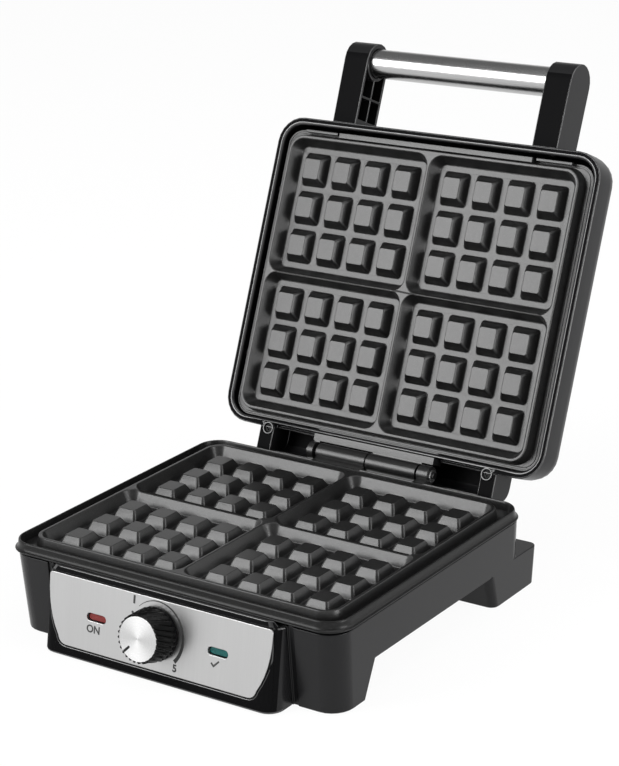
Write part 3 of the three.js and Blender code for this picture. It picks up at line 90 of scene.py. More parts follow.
# Hinge, panel and knob
lid_gap = 4.7  # between the two cooking faces, closed
open_angle = 113
hinge_back = 129.8  # pin behind the middle of the plate
hinge_rise = 2.95  # pin above the lower cooking face
barrel_radius = 6.9
barrel_bore = 2.9
panel_lean = 10.25
panel_top = 57.75
panel_front = 127.3
knob_drop = -23.6  # middle of the knob from the top of the panel
knob_height = 20

# Waffle grid
cell_pitch = (27.5, 30)
cell_counts = (4, 3)  # in one pocket
centre_gap = (43.2, 45.65)
peg_top = (7.15, 7.8)  # half sizes
peg_base = (10.9, 12.7)
peg_corners = (1.6, 2.6)  # at the top and at the base
peg_edge = 0.6
peg_foot = 0.9
peg_bulge = 0.3  # crown of a peg's sides, halfway down
peg_crown = (0.7, 0.5, 0.3)  # shares of the depth where the crown has its rings
peg_steps = (2, 3)  # of the rounds at the foot and at the top
peg_corner_steps = 4
pocket_depth = 8.2  # below the peg tops
pocket_margin = (4.8, 5.3)
pocket_lean = 4.8
pocket_corner = 10
pocket_rim = 1.1
pocket_foot = 1.4
pocket_steps = 10  # of each round corner
rim_steps = 5  # of the round at the rim
foot_steps = 3
ridge_gap = 0.02
ridge_turn = 0.05  # least turn towards a ridge of the rim beside it
no_ridge = 48  # room of a rim with no ridge beside it
land_width = 2.4
land_rise = 2  # rim and ridges above the peg tops
flange_depth = 6.9  # ledge round the upper plate
land_edge = 0.7
land_steps = 3
land_lean = 2  # of the land's outer side
plate_back = -12.2  # back of both plates from the cooking face

# Frames of the object
pin_low, pin_high = (Vector(corner) * 1000 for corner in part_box("hinge_pin"))
pin = (pin_low + pin_high) / 2
plate_y = pin.y - hinge_back
face_height = pin.z - hinge_rise
to_metres = Matrix.Scale(0.001, 4)
base_frame = to_metres @ Matrix.Translation((0, plate_y, 0))
plate_frame = to_metres @ Matrix.Translation((0, plate_y, face_height))
lid_frame = (
    to_metres
    @ Matrix.Translation((0, pin.y, pin.z))
    @ Matrix.Rotation(rad(180 - open_angle), 4, "X")
    @ Matrix.Translation((0, hinge_back, hinge_rise - lid_gap))
)
panel_frame = (
    base_frame
    @ Matrix.Translation((0, -panel_front, panel_top))
    @ Matrix.Rotation(rad(90 - panel_lean), 4, "X")
)


def direction(place, way):
    """A direction in a frame of the object, as one in the model."""
    return (place.to_3x3() @ Vector(way)).normalized()


lid_front = direction(lid_frame, (0, 0, 1))
panel_out = direction(panel_frame, (0, 0, 1))
panel_up = direction(panel_frame, (0, 1, 0))

body_of = {
    node: body
    for body, nodes in frame["record"]["behaviour"]["bodies"].items()
    for node in nodes
}
slot_of = {part["node"]: part["material_slot"] for part in frame["record"]["subparts"]}


# Outlines, as lists of points


def outline(half, radius, out, steps=8):
    """Rectangle of half sizes with round corners, set out by a distance."""
    x, y = half[0] + out - radius, half[1] + out - radius
    points = []
    for quarter, (side_x, side_y) in enumerate(corner_sides):
        for step in range(steps + 1):
            angle = (quarter - 1 + step / steps) * math.pi / 2
            reach_x, reach_y = radius * math.cos(angle), radius * math.sin(angle)
            points.append((side_x * x + reach_x, side_y * y + reach_y))
    return points


def circle(radius, x=0, y=0, sides=48):
    turns = [2 * math.pi * side / sides for side in range(sides)]
    return [(x + radius * math.cos(turn), y + radius * math.sin(turn)) for turn in turns]


def slot_outline(length, width, steps=8):
    """Slot with half-round ends, along X."""
    reach = (length - width) / 2
    points = []
    for end in (0, 1):
        for step in range(steps + 1):
            angle = math.pi * (step / steps - 0.5 + end)
            x = reach * (1 - 2 * end)
            points.append((x + width / 2 * math.cos(angle), width / 2 * math.sin(angle)))
    return points


def moved(points, x, y):
    return [(point[0] + x, point[1] + y) for point in points]


# Closed forms


class Form:
    """A closed form in the making, from rings of points that are bridged and filled."""

    def __init__(self):
        self.bm = bmesh.new()

    def ring(self, points, height=None):
        if height is not None:
            points = [(x, y, height) for x, y in points]
        return [self.bm.verts.new(point) for point in points]

    def bridge(self, *rings):
        for lower, upper in zip(rings, rings[1:]):
            for i, vertex in enumerate(lower):
                self.bm.faces.new((lower[i - 1], vertex, upper[i], upper[i - 1]))

    def fill(self, outer, *holes):
        """Flat face between a ring and the rings inside it."""
        rings = (outer, *holes)
        corners = [vertex for ring in rings for vertex in ring]
        flat = [[Vector((v.co.x, v.co.y, 0)) for v in ring] for ring in rings]
        for triangle in tessellate_polygon(flat):
            self.bm.faces.new([corners[i] for i in triangle])

    def mesh(self):
        bmesh.ops.recalc_face_normals(self.bm, faces=self.bm.faces)
        made = bpy.data.meshes.new("form")
        self.bm.to_mesh(made)
        self.bm.free()
        return made


def loft(levels):
    """Closed form through outlines, each given as height and points."""
    form = Form()
    rings = [form.ring(points, height) for height, points in levels]
    form.bridge(*rings)
    form.bm.faces.new(rings[0])
    form.bm.faces.new(rings[-1])
    return form.mesh()


def prism(points, bottom, top):
    return loft([(bottom, points), (top, points)])


def turned(profile, sides):
    """Closed form of revolution, from a profile of radius and height."""
    return loft([(height, circle(radius, sides=sides)) for radius, height in profile])


def turned_ring(profile, x=0, y=0, top=0, sides=48):
    """Ring of a profile, given as radius and height."""
    form = Form()
    rings = [form.ring(circle(radius, x, y, sides), top + height) for radius, height in profile]
    form.bridge(*rings, rings[0])
    return form.mesh()


def block(x0, x1, y0, y1, z0, z1):
    return prism([(x0, y0), (x1, y0), (x1, y1), (x0, y1)], z0, z1)


# A prism's x, y and height become y, z and x
on_its_side = Matrix(((0, 0, 1, 0), (1, 0, 0, 0), (0, 1, 0, 0), (0, 0, 0, 1)))


def crosswise(points, x0, x1):
    """Prism along X of an outline in Y and Z."""
    mesh = prism(points, x0, x1)
    mesh.transform(on_its_side)
    return mesh


def plain_mesh(thing):
    """The mesh of a working object after its modifiers, in place of the object."""
    graph = bpy.context.evaluated_depsgraph_get()
    graph.update()
    made = bpy.data.meshes.new_from_object(
        thing.evaluated_get(graph), preserve_all_data_layers=True, depsgraph=graph
    )
    bpy.data.objects.remove(thing)
    return made


def evaluated(mesh, kind, settings):
    """The mesh after a modifier of a kind and its settings."""
    thing = placed("working", mesh)
    modifier = thing.modifiers.new(kind.lower(), kind)
    for name, value in settings.items():
        setattr(modifier, name, value)
    return plain_mesh(thing)


def cut_from(mesh, tool):
    """The mesh less a tool, both closed."""
    thing = placed("tool", tool)
    settings = {"operation": "DIFFERENCE", "solver": "EXACT", "object": thing}
    made = evaluated(mesh, "BOOLEAN", settings)
    bpy.data.objects.remove(thing)
    return made


def joined(*meshes):
    bm = bmesh.new()
    for mesh in meshes:
        bm.from_mesh(mesh)
    made = bpy.data.meshes.new("joined")
    bm.to_mesh(made)
    bm.free()
    return made


same_place = 0.002
same_plane = 0.4  # degrees
level_slack = 0.05
flat_rise = 0.9  # least rise of the normal of a rim's top
steep_rise = 0.5  # most rise of the normal of its side


def merged(mesh):
    """The mesh as whole flat faces, for editing."""
    bm = bmesh.new()
    bm.from_mesh(mesh)
    bmesh.ops.remove_doubles(bm, verts=bm.verts, dist=same_place)
    bmesh.ops.dissolve_degenerate(bm, edges=bm.edges, dist=same_place)
    bmesh.ops.dissolve_limit(bm, angle_limit=rad(same_plane), verts=bm.verts, edges=bm.edges)
    return bm


def on_rim(edge, level, outward):
    """Whether an edge at the level joins a flat top to a side that looks out, or in."""
    if len(edge.link_faces) != 2 or any(abs(v.co.z - level) >= level_slack for v in edge.verts):
        return False
    side, top = sorted(edge.link_faces, key=lambda face: face.normal.z)
    middle = (edge.verts[0].co + edge.verts[1].co) / 2
    facing = side.normal.xy.dot(middle.xy) * outward
    return top.normal.z > flat_rise and side.normal.z < steep_rise and facing > 0


def rim_rounded(mesh, level, outer, inner, segments=4):
    """Larger rounds on the outer and inner edges of the rim at a level of the mesh."""
    bm = merged(mesh)
    for width, outward in ((outer, 1), (inner, -1)):
        bm.normal_update()
        edges = [edge for edge in bm.edges if on_rim(edge, level, outward)]
        bmesh.ops.bevel(
            bm, geom=edges, offset=width, segments=segments, profile=0.5, affect="EDGES"
        )
    bm.to_mesh(mesh)
    bm.free()
    return mesh


def softened(mesh, width, segments=3, angle=30, clamped=True):
    """Every edge sharper than the angle gets a small round, smaller by short edges if clamped."""
    bm = merged(mesh)
    bm.to_mesh(mesh)
    bm.free()
    settings = {
        "width": width,
        "segments": segments,
        "limit_method": "ANGLE",
        "angle_limit": rad(angle),
        "use_clamp_overlap": clamped,
    }
    return evaluated(mesh, "BEVEL", settings)


def smoothed(mesh, sharp=38):
    """Smooth shading that keeps the flats flat."""
    mesh.polygons.foreach_set("use_smooth", [True] * len(mesh.polygons))
    mesh.set_sharp_from_angle(angle=rad(sharp))
    return evaluated(mesh, "WEIGHTED_NORMAL", {"keep_sharp": True, "weight": 80})


def piece(name, mesh, place, node, finish=None, replaced=None):
    """A finished piece that stands for CAD nodes and moves with the first one's body."""
    nodes = [node] if replaced is None else replaced
    mesh.transform(place)
    mesh = smoothed(mesh)
    mesh.name = name
    mesh.materials.clear()
    mesh.materials.append(finish or finishes[slot_of[node]])
    thing = placed(name, mesh)
    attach(thing, body_of[node])
    if nodes:
        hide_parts(*nodes)
    return thing


edge_turns = (0.1, 0.99)  # cosines between which a narrow face is part of a round
narrow_face = 0.0005  # its area against its edges, in metres


def faced(thing, way, least=0.975):
    """Faces that look one way get a darker copy of the black plastic, painted shade, and the rounds
    beside them a strongly reflecting copy, painted highlight.
    """
    mesh = thing.data
    mesh.materials.append(painted_shade_plastic)
    mesh.materials.append(painted_highlight_plastic)
    for face in mesh.polygons:
        turn = face.normal.dot(way)
        corners = [mesh.vertices[i].co for i in face.vertices]
        around = sum((corners[i] - corners[i - 1]).length for i in range(len(corners)))
        if edge_turns[0] < turn < edge_turns[1] and face.area < narrow_face * around:
            face.material_index = 2
        elif turn > least:
            face.material_index = 1


def node_copy(node):
    """The CAD form of a node, in millimetres in the model's frame."""
    mesh = frame["nodes"][node].data.copy()
    mesh.transform(to_metres.inverted())
    return mesh


def dressed(node, width, segments=3, finish=None):
    """The CAD form of a node with softened edges."""
    mesh = softened(node_copy(node), width, segments, clamped=False)
    return piece(f"{node}_soft", mesh, to_metres, node, finish)


# Node trees


class Wire:
    """A socket of a node tree that the usual operators work on."""

    def __init__(self, tree, socket):
        self.tree = tree
        self.socket = socket

    def maths(self, operation, *values):
        return self.tree.node("ShaderNodeMath", {"operation": operation}, dict(enumerate(values)))

    def __add__(self, other):
        return self.maths("ADD", self, other)

    def __sub__(self, other):
        return self.maths("SUBTRACT", self, other)

    def __mul__(self, other):
        return self.maths("MULTIPLY", self, other)

    def __truediv__(self, other):
        return self.maths("DIVIDE", self, other)

    def __gt__(self, other):
        return self.maths("GREATER_THAN", self, other)

    def __rsub__(self, other):
        return self.maths("SUBTRACT", other, self)

    __radd__ = __add__
    __rmul__ = __mul__


class Tree:
    """A node tree, whose nodes come from one method."""

    def __init__(self, nodes):
        self.nodes = nodes
        self.nodes.nodes.clear()

    def node(self, kind, settings=None, sockets=None, output=0):
        made = self.nodes.nodes.new(kind)
        for name, value in (settings or {}).items():
            setattr(made, name, value)
        for name, value in (sockets or {}).items():
            wires = value if isinstance(value, list) else [value]
            for wire in wires:
                if isinstance(wire, Wire):
                    self.nodes.links.new(wire.socket, made.inputs[name])
                else:
                    made.inputs[name].default_value = wire
        return Wire(self, made.outputs[output]) if made.outputs else None

    def between(self, low, high, mask):
        """From one value to another as the mask goes from 0 to 1."""
        return mask * (high - low) + low


class Finish(Tree):
    """The node tree of a material or of the world, patterned in millimetres."""

    def __init__(self, owner):
        owner.use_nodes = True
        super().__init__(owner.node_tree)
        self.owner = owner

    def place(self):
        point = self.node("ShaderNodeTexCoord", output=3)
        return self.node("ShaderNodeVectorMath", {"operation": "SCALE"}, {0: point, 3: 1000})

    def stretched(self, *factors):
        return self.node(
            "ShaderNodeVectorMath", {"operation": "MULTIPLY"}, {0: self.place(), 1: factors}
        )

    def noise(self, scale, detail=2, where=None, roughness=0.5):
        sockets = {"Vector": where or self.place(), "Scale": scale, "Detail": detail}
        return self.node("ShaderNodeTexNoise", None, sockets | {"Roughness": roughness})

    def blend(self, mask, first, second):
        sockets = {0: mask, 6: first, 7: second}
        return self.node("ShaderNodeMix", {"data_type": "RGBA"}, sockets, output=2)

    def bump(self, height, distance, strength):
        """Relief of a height from 0 to 1, its distance in millimetres."""
        sockets = {"Height": height, "Distance": distance / 1000, "Strength": strength}
        return self.node("ShaderNodeBump", None, sockets)

    def finished(self, shader, output="ShaderNodeOutputMaterial"):
        self.node(output, None, {"Surface": shader})
        return self.owner


def surface(finish, **sockets):
    """The finish with its shader, whose sockets are named in small letters."""
    names = {
        name.replace("_", " ").title().replace("Ior", "IOR"): value
        for name, value in sockets.items()
    }
    return finish.finished(finish.node("ShaderNodeBsdfPrincipled", None, names))


def new_finish(name):
    return Finish(bpy.data.materials.new(name))


def grey(value, blue=1.0):
    return (value, value, value * blue, 1)


def mottled(name, scale, colours, roughness, detail=2, relief=None, **sockets):
    """A finish that follows one noise, its relief given as depth and strength."""
    finish = new_finish(name)
    mottle = finish.noise(scale, detail)
    if relief:
        sockets["normal"] = finish.bump(mottle, *relief)
    return surface(
        finish,
        base_color=finish.blend(mottle, *colours),
        roughness=finish.between(*roughness, mottle),
        **sockets,
    )


def coated_cast(name, specular):
    """Cast aluminium under a charcoal non-stick coating, with its fine grain and a few specks."""
    finish = new_finish(name)
    grain = finish.noise(scale=1.1, detail=3)
    cloud = finish.noise(scale=0.03)
    speck = finish.noise(scale=1.9, detail=1) > 0.64
    tone = finish.blend(cloud, grey(0.006), grey(0.01))
    return surface(
        finish,
        base_color=finish.blend(speck * 0.6, tone, grey(0.05)),
        roughness=finish.between(0.25, 0.37, grain),
        specular_ior_level=specular,
        normal=finish.bump(grain, distance=0.05, strength=0.7),
    )


def black_plastic(name, roughness, peel_depth, specular, tone=0.01):
    """Black moulded plastic, with a slight orange peel and a little dust."""
    finish = new_finish(name)
    peel = finish.noise(scale=0.35)
    cloud = finish.noise(scale=0.02, detail=3)
    dust = finish.noise(scale=3.2, detail=1) > 0.74
    ground = finish.blend(cloud, grey(tone, 1.06), grey(tone * 1.4, 1.06))
    return surface(
        finish,
        base_color=finish.blend(dust * 0.25, ground, grey(tone * 3)),
        roughness=finish.between(*roughness, cloud * 0.6 + peel * 0.4),
        specular_ior_level=specular,
        normal=finish.bump(peel, distance=peel_depth, strength=0.4),
    )


def brushed_steel():
    """Stainless steel sheet, brushed up and down the panel."""
    finish = new_finish("brushed_faceplate_steel")
    fine = finish.noise(scale=1.0, detail=3, where=finish.stretched(7, 0.05, 0.05), roughness=0.6)
    broad = finish.noise(scale=1.0, where=finish.stretched(0.9, 0.012, 0.012))
    cloud = finish.noise(scale=0.012)
    streak = fine * 0.7 + broad * 0.3
    return surface(
        finish,
        base_color=finish.blend(streak, grey(0.44), grey(0.54)),
        metallic=1.0,
        roughness=finish.between(0.26, 0.42, streak * 0.7 + cloud * 0.3),
        normal=finish.bump(fine, distance=0.012, strength=0.5),
    )


def tube_steel():
    """Stainless steel tube, polished round its length."""
    finish = new_finish("polished_tube_steel")
    rings = finish.noise(scale=1.0, detail=3, where=finish.stretched(0.03, 3.2, 3.2), roughness=0.6)
    cloud = finish.noise(scale=0.03)
    return surface(
        finish,
        base_color=finish.blend(rings, grey(0.36), grey(0.54)),
        metallic=1.0,
        roughness=finish.between(0.2, 0.28, rings * 0.6 + cloud * 0.4),
        normal=finish.bump(rings, distance=0.02, strength=0.6),
    )


def spun_aluminium():
    """Aluminium disc turned on a lathe, with rings, and a painted highlight in two wedges about its
    middle, lighter up and down the panel.
    """
    finish = new_finish("spun_aluminium")
    middle = panel_frame @ Vector((0, knob_drop, knob_height))
    point = finish.node("ShaderNodeTexCoord", output=3)
    arm = finish.node("ShaderNodeVectorMath", {"operation": "SUBTRACT"}, {0: point, 1: middle})
    operation = {"operation": "CROSS_PRODUCT"}
    across = finish.node("ShaderNodeVectorMath", operation, {0: arm, 1: panel_out})
    radius = finish.node("ShaderNodeVectorMath", {"operation": "LENGTH"}, {0: across}, output=1)
    sockets = {"W": radius * 1000, "Scale": 3.4, "Detail": 3, "Roughness": 0.7}
    rings = finish.node("ShaderNodeTexNoise", {"noise_dimensions": "1D"}, sockets)
    operation = {"operation": "DOT_PRODUCT"}
    rise = finish.node("ShaderNodeVectorMath", operation, {0: arm, 1: panel_up}, output=1)
    painted_highlight_rise = rise / (radius + 0.0001)  # kept from dividing by nothing at the middle
    # Painted highlight: the base colour is lighter where the disc points up or down the panel, in
    # place of the spun metal's reflection.
    return surface(
        finish,
        base_color=finish.blend(painted_highlight_rise * painted_highlight_rise * 0.8 + rings * 0.2, grey(0.56), grey(0.95)),
        metallic=1.0,
        roughness=finish.between(0.2, 0.34, rings),
        normal=finish.bump(rings, distance=0.06, strength=0.8),
    )


def plated_steel(name, tone, roughness):
    """Zinc plated, blackened or ground steel of screws, clips, shields and the pin."""
    finish = new_finish(name)
    cloud = finish.noise(scale=0.25, detail=3)
    fine = finish.noise(scale=2.2)
    return surface(
        finish,
        base_color=finish.blend(cloud, grey(tone * 0.8), grey(tone)),
        metallic=1.0,
        roughness=finish.between(*roughness, fine * 0.5 + cloud * 0.5),
        normal=finish.bump(fine, distance=0.01, strength=0.4),
    )


def heater_sheath():
    """Oxidised sheath of the heating element."""
    finish = new_finish("oxidised_heater_sheath")
    cloud = finish.noise(scale=0.12, detail=3)
    grain = finish.noise(scale=1.4)
    return surface(
        finish,
        base_color=finish.blend(cloud, (0.05, 0.045, 0.04, 1), (0.13, 0.11, 0.095, 1)),
        metallic=0.6,
        roughness=finish.between(0.45, 0.65, cloud),
        normal=finish.bump(grain, distance=0.03, strength=0.4),
    )


def lens(name, deep, bright):
    """Moulded lamp lens, mottled by the light in it, with upright prisms on its back."""
    finish = new_finish(name)
    cloud = finish.noise(scale=0.35)
    prisms = finish.node(
        "ShaderNodeTexWave", {"bands_direction": "X"}, {"Vector": finish.place(), "Scale": 0.24}
    )
    glint = finish.noise(scale=1.7, detail=3, roughness=0.7)
    mottle = glint.maths("PINGPONG", glint * 2.4 - 0.6, 1.0)
    return surface(
        finish,
        base_color=finish.blend(mottle, deep, bright),
        roughness=finish.between(0.16, 0.26, cloud),
        specular_ior_level=0.25,
        normal=finish.bump(prisms, distance=0.05, strength=0.3),
    )


finishes = {
    "coated_cast": coated_cast("non_stick_coating", specular=0.56),
    "black_plastic": black_plastic("black_moulded_plastic", (0.2, 0.3), 0.02, specular=0.2),
    "black_steel": plated_steel("blackened_steel", tone=0.012, roughness=(0.35, 0.5)),
    "dark_plastic": mottled(
        "matt_black_plastic", 1.6, (grey(0.012), grey(0.02)), (0.48, 0.62), detail=3,
        relief=(0.05, 0.5), specular_ior_level=0.4,
    ),
    "knob_plastic": mottled(
        "knob_plastic", 0.5, (grey(0.002), grey(0.004)), (0.13, 0.19),
        relief=(0.015, 0.4), specular_ior_level=0.16,
    ),
    "pointer_ink": mottled(
        "pointer_black", 0.9, (grey(0.004), grey(0.009)), (0.35, 0.5), specular_ior_level=0.3
    ),
    "brushed_steel": brushed_steel(),
    "tube_steel": tube_steel(),
    "spun_aluminium": spun_aluminium(),
    "zinc_steel": plated_steel("zinc_plated_steel", tone=0.62, roughness=(0.25, 0.42)),
    "pin_steel": plated_steel("ground_pin_steel", tone=0.08, roughness=(0.3, 0.42)),
    "heater_sheath": heater_sheath(),
    "foot_rubber": mottled(
        "foot_rubber", 1.8, (grey(0.014), grey(0.024)), (0.7, 0.85), detail=3,
        relief=(0.06, 0.6), specular_ior_level=0.3,
    ),
    "red_lens": lens("red_lens", deep=(0.12, 0.016, 0.016, 1), bright=(0.26, 0.04, 0.036, 1)),
    "green_lens": lens("green_lens", deep=(0.006, 0.06, 0.06, 1), bright=(0.014, 0.13, 0.12, 1)),
    "lamp_glass": mottled(
        "lamp_glass", 0.6, ((0.55, 0.5, 0.46, 1), (0.7, 0.66, 0.62, 1)), (0.08, 0.16)
    ),
    "ceramic": mottled(
        "steatite_ceramic", 1.5, ((0.62, 0.6, 0.55, 1), (0.74, 0.72, 0.68, 1)), (0.5, 0.65),
        detail=3, relief=(0.05, 0.4),
    ),
}
ink = mottled(
    "printed_marks", 1.2, (grey(0.03), grey(0.05)), (0.5, 0.62), specular_ior_level=0.35
)
rim_coating = coated_cast("rim_coating", specular=0.2)
handle_plastic = black_plastic("handle_black_plastic", (0.3, 0.4), 0.03, specular=0.16)
lid_plastic = black_plastic("lid_black_plastic", (0.26, 0.36), 0.02, specular=0.12)
# Darker copy of the black plastic with almost no reflection: painted shade, on faces that look one
# way and on the knob's foot.
painted_shade_plastic = black_plastic("painted_shade_black_plastic", (0.34, 0.44), 0.02, specular=0.01, tone=0.005)
# Strongly reflecting copy of the black plastic: painted highlight, on the rounds of edges and on
# the rings round the hinge screws.
painted_highlight_plastic = black_plastic("painted_highlight_black_plastic", (0.26, 0.34), 0.01, specular=1.0)


# Studio: pale floor, white surroundings and soft lamps
around_light = 0.35  # what the surroundings add to the light on the object
ceiling_start = 0.2  # rise of the view at which the grey begins
ceiling_end = 0.6
ceiling_grey = 0.2
floor_glow = 0.94  # how much of the floor is plain white where it is only seen
floor_radius = 9000
floor_depth = 2


def seen_rays(finish):
    """1 for rays from the camera, from gloss and through glass."""
    names = ("Is Camera Ray", "Is Glossy Ray", "Is Transmission Ray")
    camera, gloss, through = (finish.node("ShaderNodeLightPath", output=name) for name in names)
    return camera.maths("MAXIMUM", camera.maths("MAXIMUM", camera, gloss), through)


def make_surroundings():
    """White all round, turning grey overhead like the ceiling of a studio."""
    scene.world = bpy.data.worlds.new("white_surroundings")
    finish = Finish(scene.world)
    point = finish.node("ShaderNodeTexCoord")
    rise = finish.node("ShaderNodeSeparateXYZ", None, {0: point}, output=2)
    ceiling = finish.node(
        "ShaderNodeMapRange",
        {"interpolation_type": "SMOOTHSTEP"},
        {0: rise, 1: ceiling_start, 2: ceiling_end, 3: 1.0, 4: ceiling_grey},
    )
    strength = finish.between(around_light, ceiling, seen_rays(finish))
    sockets = {"Color": (1, 1, 1, 1), "Strength": strength}
    shader = finish.node("ShaderNodeBackground", None, sockets)
    finish.finished(shader, "ShaderNodeOutputWorld")


def floor_white():
    finish = new_finish("pale_floor")
    tone = finish.blend(finish.noise(scale=0.004), grey(0.88), grey(0.9))
    paper = finish.node("ShaderNodeBsdfDiffuse", None, {"Color": tone, "Roughness": 1.0})
    glow = finish.node("ShaderNodeEmission", None, {"Color": (1, 1, 1, 1), "Strength": 1.0})
    share = seen_rays(finish) * floor_glow
    shader = finish.node("ShaderNodeMixShader", None, {0: share, 1: paper, 2: glow})
    return finish.finished(shader)


def make_floor():
    mesh = prism(circle(floor_radius, sides=96), -floor_depth, 0)
    mesh.transform(to_metres)
    mesh.materials.append(floor_white())
    floor = placed("floor", mesh)


def lamp(name, place, target, width, height, power):
    """Soft lamp, in metres and watts, turned to a target."""
    data = bpy.data.lights.new(name, "AREA")
    data.shape = "RECTANGLE"
    data.size = width
    data.size_y = height
    data.energy = power
    thing = placed(name, data)
    thing.location = place
    thing.rotation_euler = (Vector(target) - Vector(place)).to_track_quat("-Z", "Y").to_euler()


scene.view_settings.view_transform = "Standard"
make_surroundings()
make_floor()
lamp("front_left_softbox", (-0.93, -1.4, 1.05), (0, 0, 0.18), 0.85, 1.3, 28)
lamp("right_softbox", (1.35, 0.95, 1.2), (0, 0, 0.1), 0.8, 0.8, 6)
lamp("right_strip", (1.2, 0.05, 1.05), (0, 0, 0.1), 0.3, 0.5, 3)
lamp("overhead_softbox", (0.3, -0.1, 2.3), (0, 0, 0), 1.8, 1.8, 18)
lamp("low_right_softbox", (1.35, -0.12, 0.36), (0, 0.12, 0.25), 0.5, 0.45, 7)


# Cooking plates


def pocket_outline(side_x, side_y):
    """Points of a pocket's rim at the cooking face, each with its outward direction."""
    half, middle = [], []
    for axis, side in enumerate((side_x, side_y)):
        inner = centre_gap[axis] / 2 - peg_base[axis] - pocket_margin[axis]
        ends = 2 * (peg_base[axis] + pocket_margin[axis])
        length = (cell_counts[axis] - 1) * cell_pitch[axis] + ends
        half.append(length / 2 + pocket_lean)
        middle.append(side * (inner + length / 2))
    rim = []
    for quarter, (x, y) in enumerate(corner_sides):
        for step in range(pocket_steps + 1):
            angle = (quarter - 1 + step / pocket_steps) * math.pi / 2
            way = Vector((math.cos(angle), math.sin(angle)))
            corner = Vector((x * (half[0] - pocket_corner), y * (half[1] - pocket_corner)))
            rim.append((corner + Vector(middle) + way * pocket_corner, way))
    return rim


def ridge_room(point, way, side_x, side_y):
    """How far the rim point is from the middle of the ridge beside it, or a long way."""
    room = no_ridge
    for axis, side in enumerate((side_x, side_y)):
        if way[axis] * side < -ridge_turn:
            room = min(room, abs(point[axis] / way[axis]))
    return room


def round_steps(lean, count):
    """Angles from upright to the lean, for the rings of a round."""
    return [lean * step / count for step in range(count + 1)]


def pocket(form, side_x, side_y):
    """Rounded rim, sloped wall, floor and pegs of a batter pocket; gives its rim."""
    slope = math.atan2(pocket_depth + land_rise, pocket_lean)
    rim_run = pocket_rim * math.tan(slope / 2)
    foot_run = pocket_foot * math.tan(slope / 2)
    rim = pocket_outline(side_x, side_y)
    rings = []
    for turn in round_steps(slope, rim_steps):
        points = []
        for point, way in rim:
            room = ridge_room(point, way, side_x, side_y)
            centre = -pocket_rim
            if room < rim_run:
                centre = (math.sin(slope) * room - pocket_rim) / math.cos(slope)
            out = min(min(room, rim_run) - pocket_rim * math.sin(turn), room - ridge_gap)
            place = point + way * out
            points.append((*place, land_rise + centre + pocket_rim * math.cos(turn)))
        rings.append(form.ring(points))
    for turn in reversed(round_steps(slope, foot_steps)):
        out = pocket_foot * math.sin(turn) - pocket_lean - foot_run
        height = pocket_foot * (1 - math.cos(turn)) - pocket_depth
        rings.append(form.ring([(*(point + way * out), height) for point, way in rim]))
    form.bridge(*rings)
    pegs = []
    for column in range(cell_counts[0]):
        for row in range(cell_counts[1]):
            x = side_x * (centre_gap[0] / 2 + column * cell_pitch[0])
            y = side_y * (centre_gap[1] / 2 + row * cell_pitch[1])
            pegs.append(peg(form, x, y))
    form.fill(rings[-1], *pegs)
    return rings[0]


def peg(form, x, y):
    """A tapered peg with rounded edges; gives the ring round its foot."""
    slope = math.atan2(pocket_depth, peg_base[0] - peg_top[0])
    levels = []
    for turn in round_steps(slope, peg_steps[0]):
        out = peg_foot * (math.tan(slope / 2) - math.sin(turn))
        levels.append((peg_base, out, peg_foot * (1 - math.cos(turn)) - pocket_depth))
    for share in peg_crown:
        half = [top + (base - top) * share for top, base in zip(peg_top, peg_base)]
        levels.append((half, peg_bulge * 4 * share * (1 - share), -share * pocket_depth))
    for turn in reversed(round_steps(slope, peg_steps[1])):
        out = peg_edge * (math.sin(turn) - math.tan(slope / 2))
        levels.append((peg_top, out, peg_edge * (math.cos(turn) - 1)))
    rings = []
    for half, out, height in levels:
        share = -height / pocket_depth
        radius = peg_corners[0] + (peg_corners[1] - peg_corners[0]) * share + out / 2
        points = outline(half, radius, out, peg_corner_steps)
        rings.append(form.ring(moved(points, x, y), height))
    form.bridge(*rings)
    form.bm.faces.new(rings[-1])
    return rings[0]


land_half = [
    gap / 2 + (count - 1) * pitch + base + margin + pocket_lean + land_width
    for gap, count, pitch, base, margin in zip(
        centre_gap, cell_counts, cell_pitch, peg_base, pocket_margin
    )
]
land_radius = pocket_corner + land_width


def outline_rings(form, half, radius, levels):
    """Rings of an outline, at levels given as distance out and height."""
    return [form.ring(outline(half, radius + out, out), height) for out, height in levels]


def cooking_face(form, depth):
    """The raised land with its four pockets, down to the depth; gives its foot ring."""
    slope = math.atan2(depth + land_rise, land_lean)
    levels = [(land_lean, -depth)]
    for turn in reversed(round_steps(slope, land_steps)):
        out = land_edge * (math.sin(turn) - math.tan(slope / 2))
        levels.append((out, land_rise + land_edge * (math.cos(turn) - 1)))
    rings = outline_rings(form, land_half, land_radius, levels)
    form.bridge(*rings)
    pockets = [pocket(form, side_x, side_y) for side_x in both_sides for side_y in both_sides]
    form.fill(rings[-1], *pockets)
    return rings[0]


# Rim of the lower plate, as distance out from the shell's top edge and height
lower_rim = (
    (-3.9, plate_back), (-3.9, -6.5), (2.0, -6.5), (2.4, -6.38), (2.64, -6.1), (2.7, -5.8),
    (2.62, -5.5), (2.4, -5.3), (1.9, -5.1), (1.3, -4.65), (0.8, -3.9), (0.5, -2.9), (0.33, -1.7),
    (0.22, -0.4), (0.05, 0.1), (-0.15, 0.5), (-0.45, 0.74), (-0.8, 0.8), (-1.15, 0.72),
    (-1.42, 0.4), (-1.6, -0.4), (-2.5, -4.6), (-2.8, -5.3), (-3.4, -5.5),
)
lower_half = (138.3, 119.1)
lower_corner = 16.5
lower_depth = 5.5  # channel round the lower land
rim_start = 3  # from the land to the rim's duller coating
web_edge = lower_half[1] - 1.5
web_heights = (-4.8, 0.7)


def lower_plate_form():
    form = Form()
    rings = outline_rings(form, lower_half, lower_corner, lower_rim)
    form.bm.faces.new(rings[0])
    rings.append(cooking_face(form, lower_depth))
    form.bridge(*rings)
    return form.mesh()


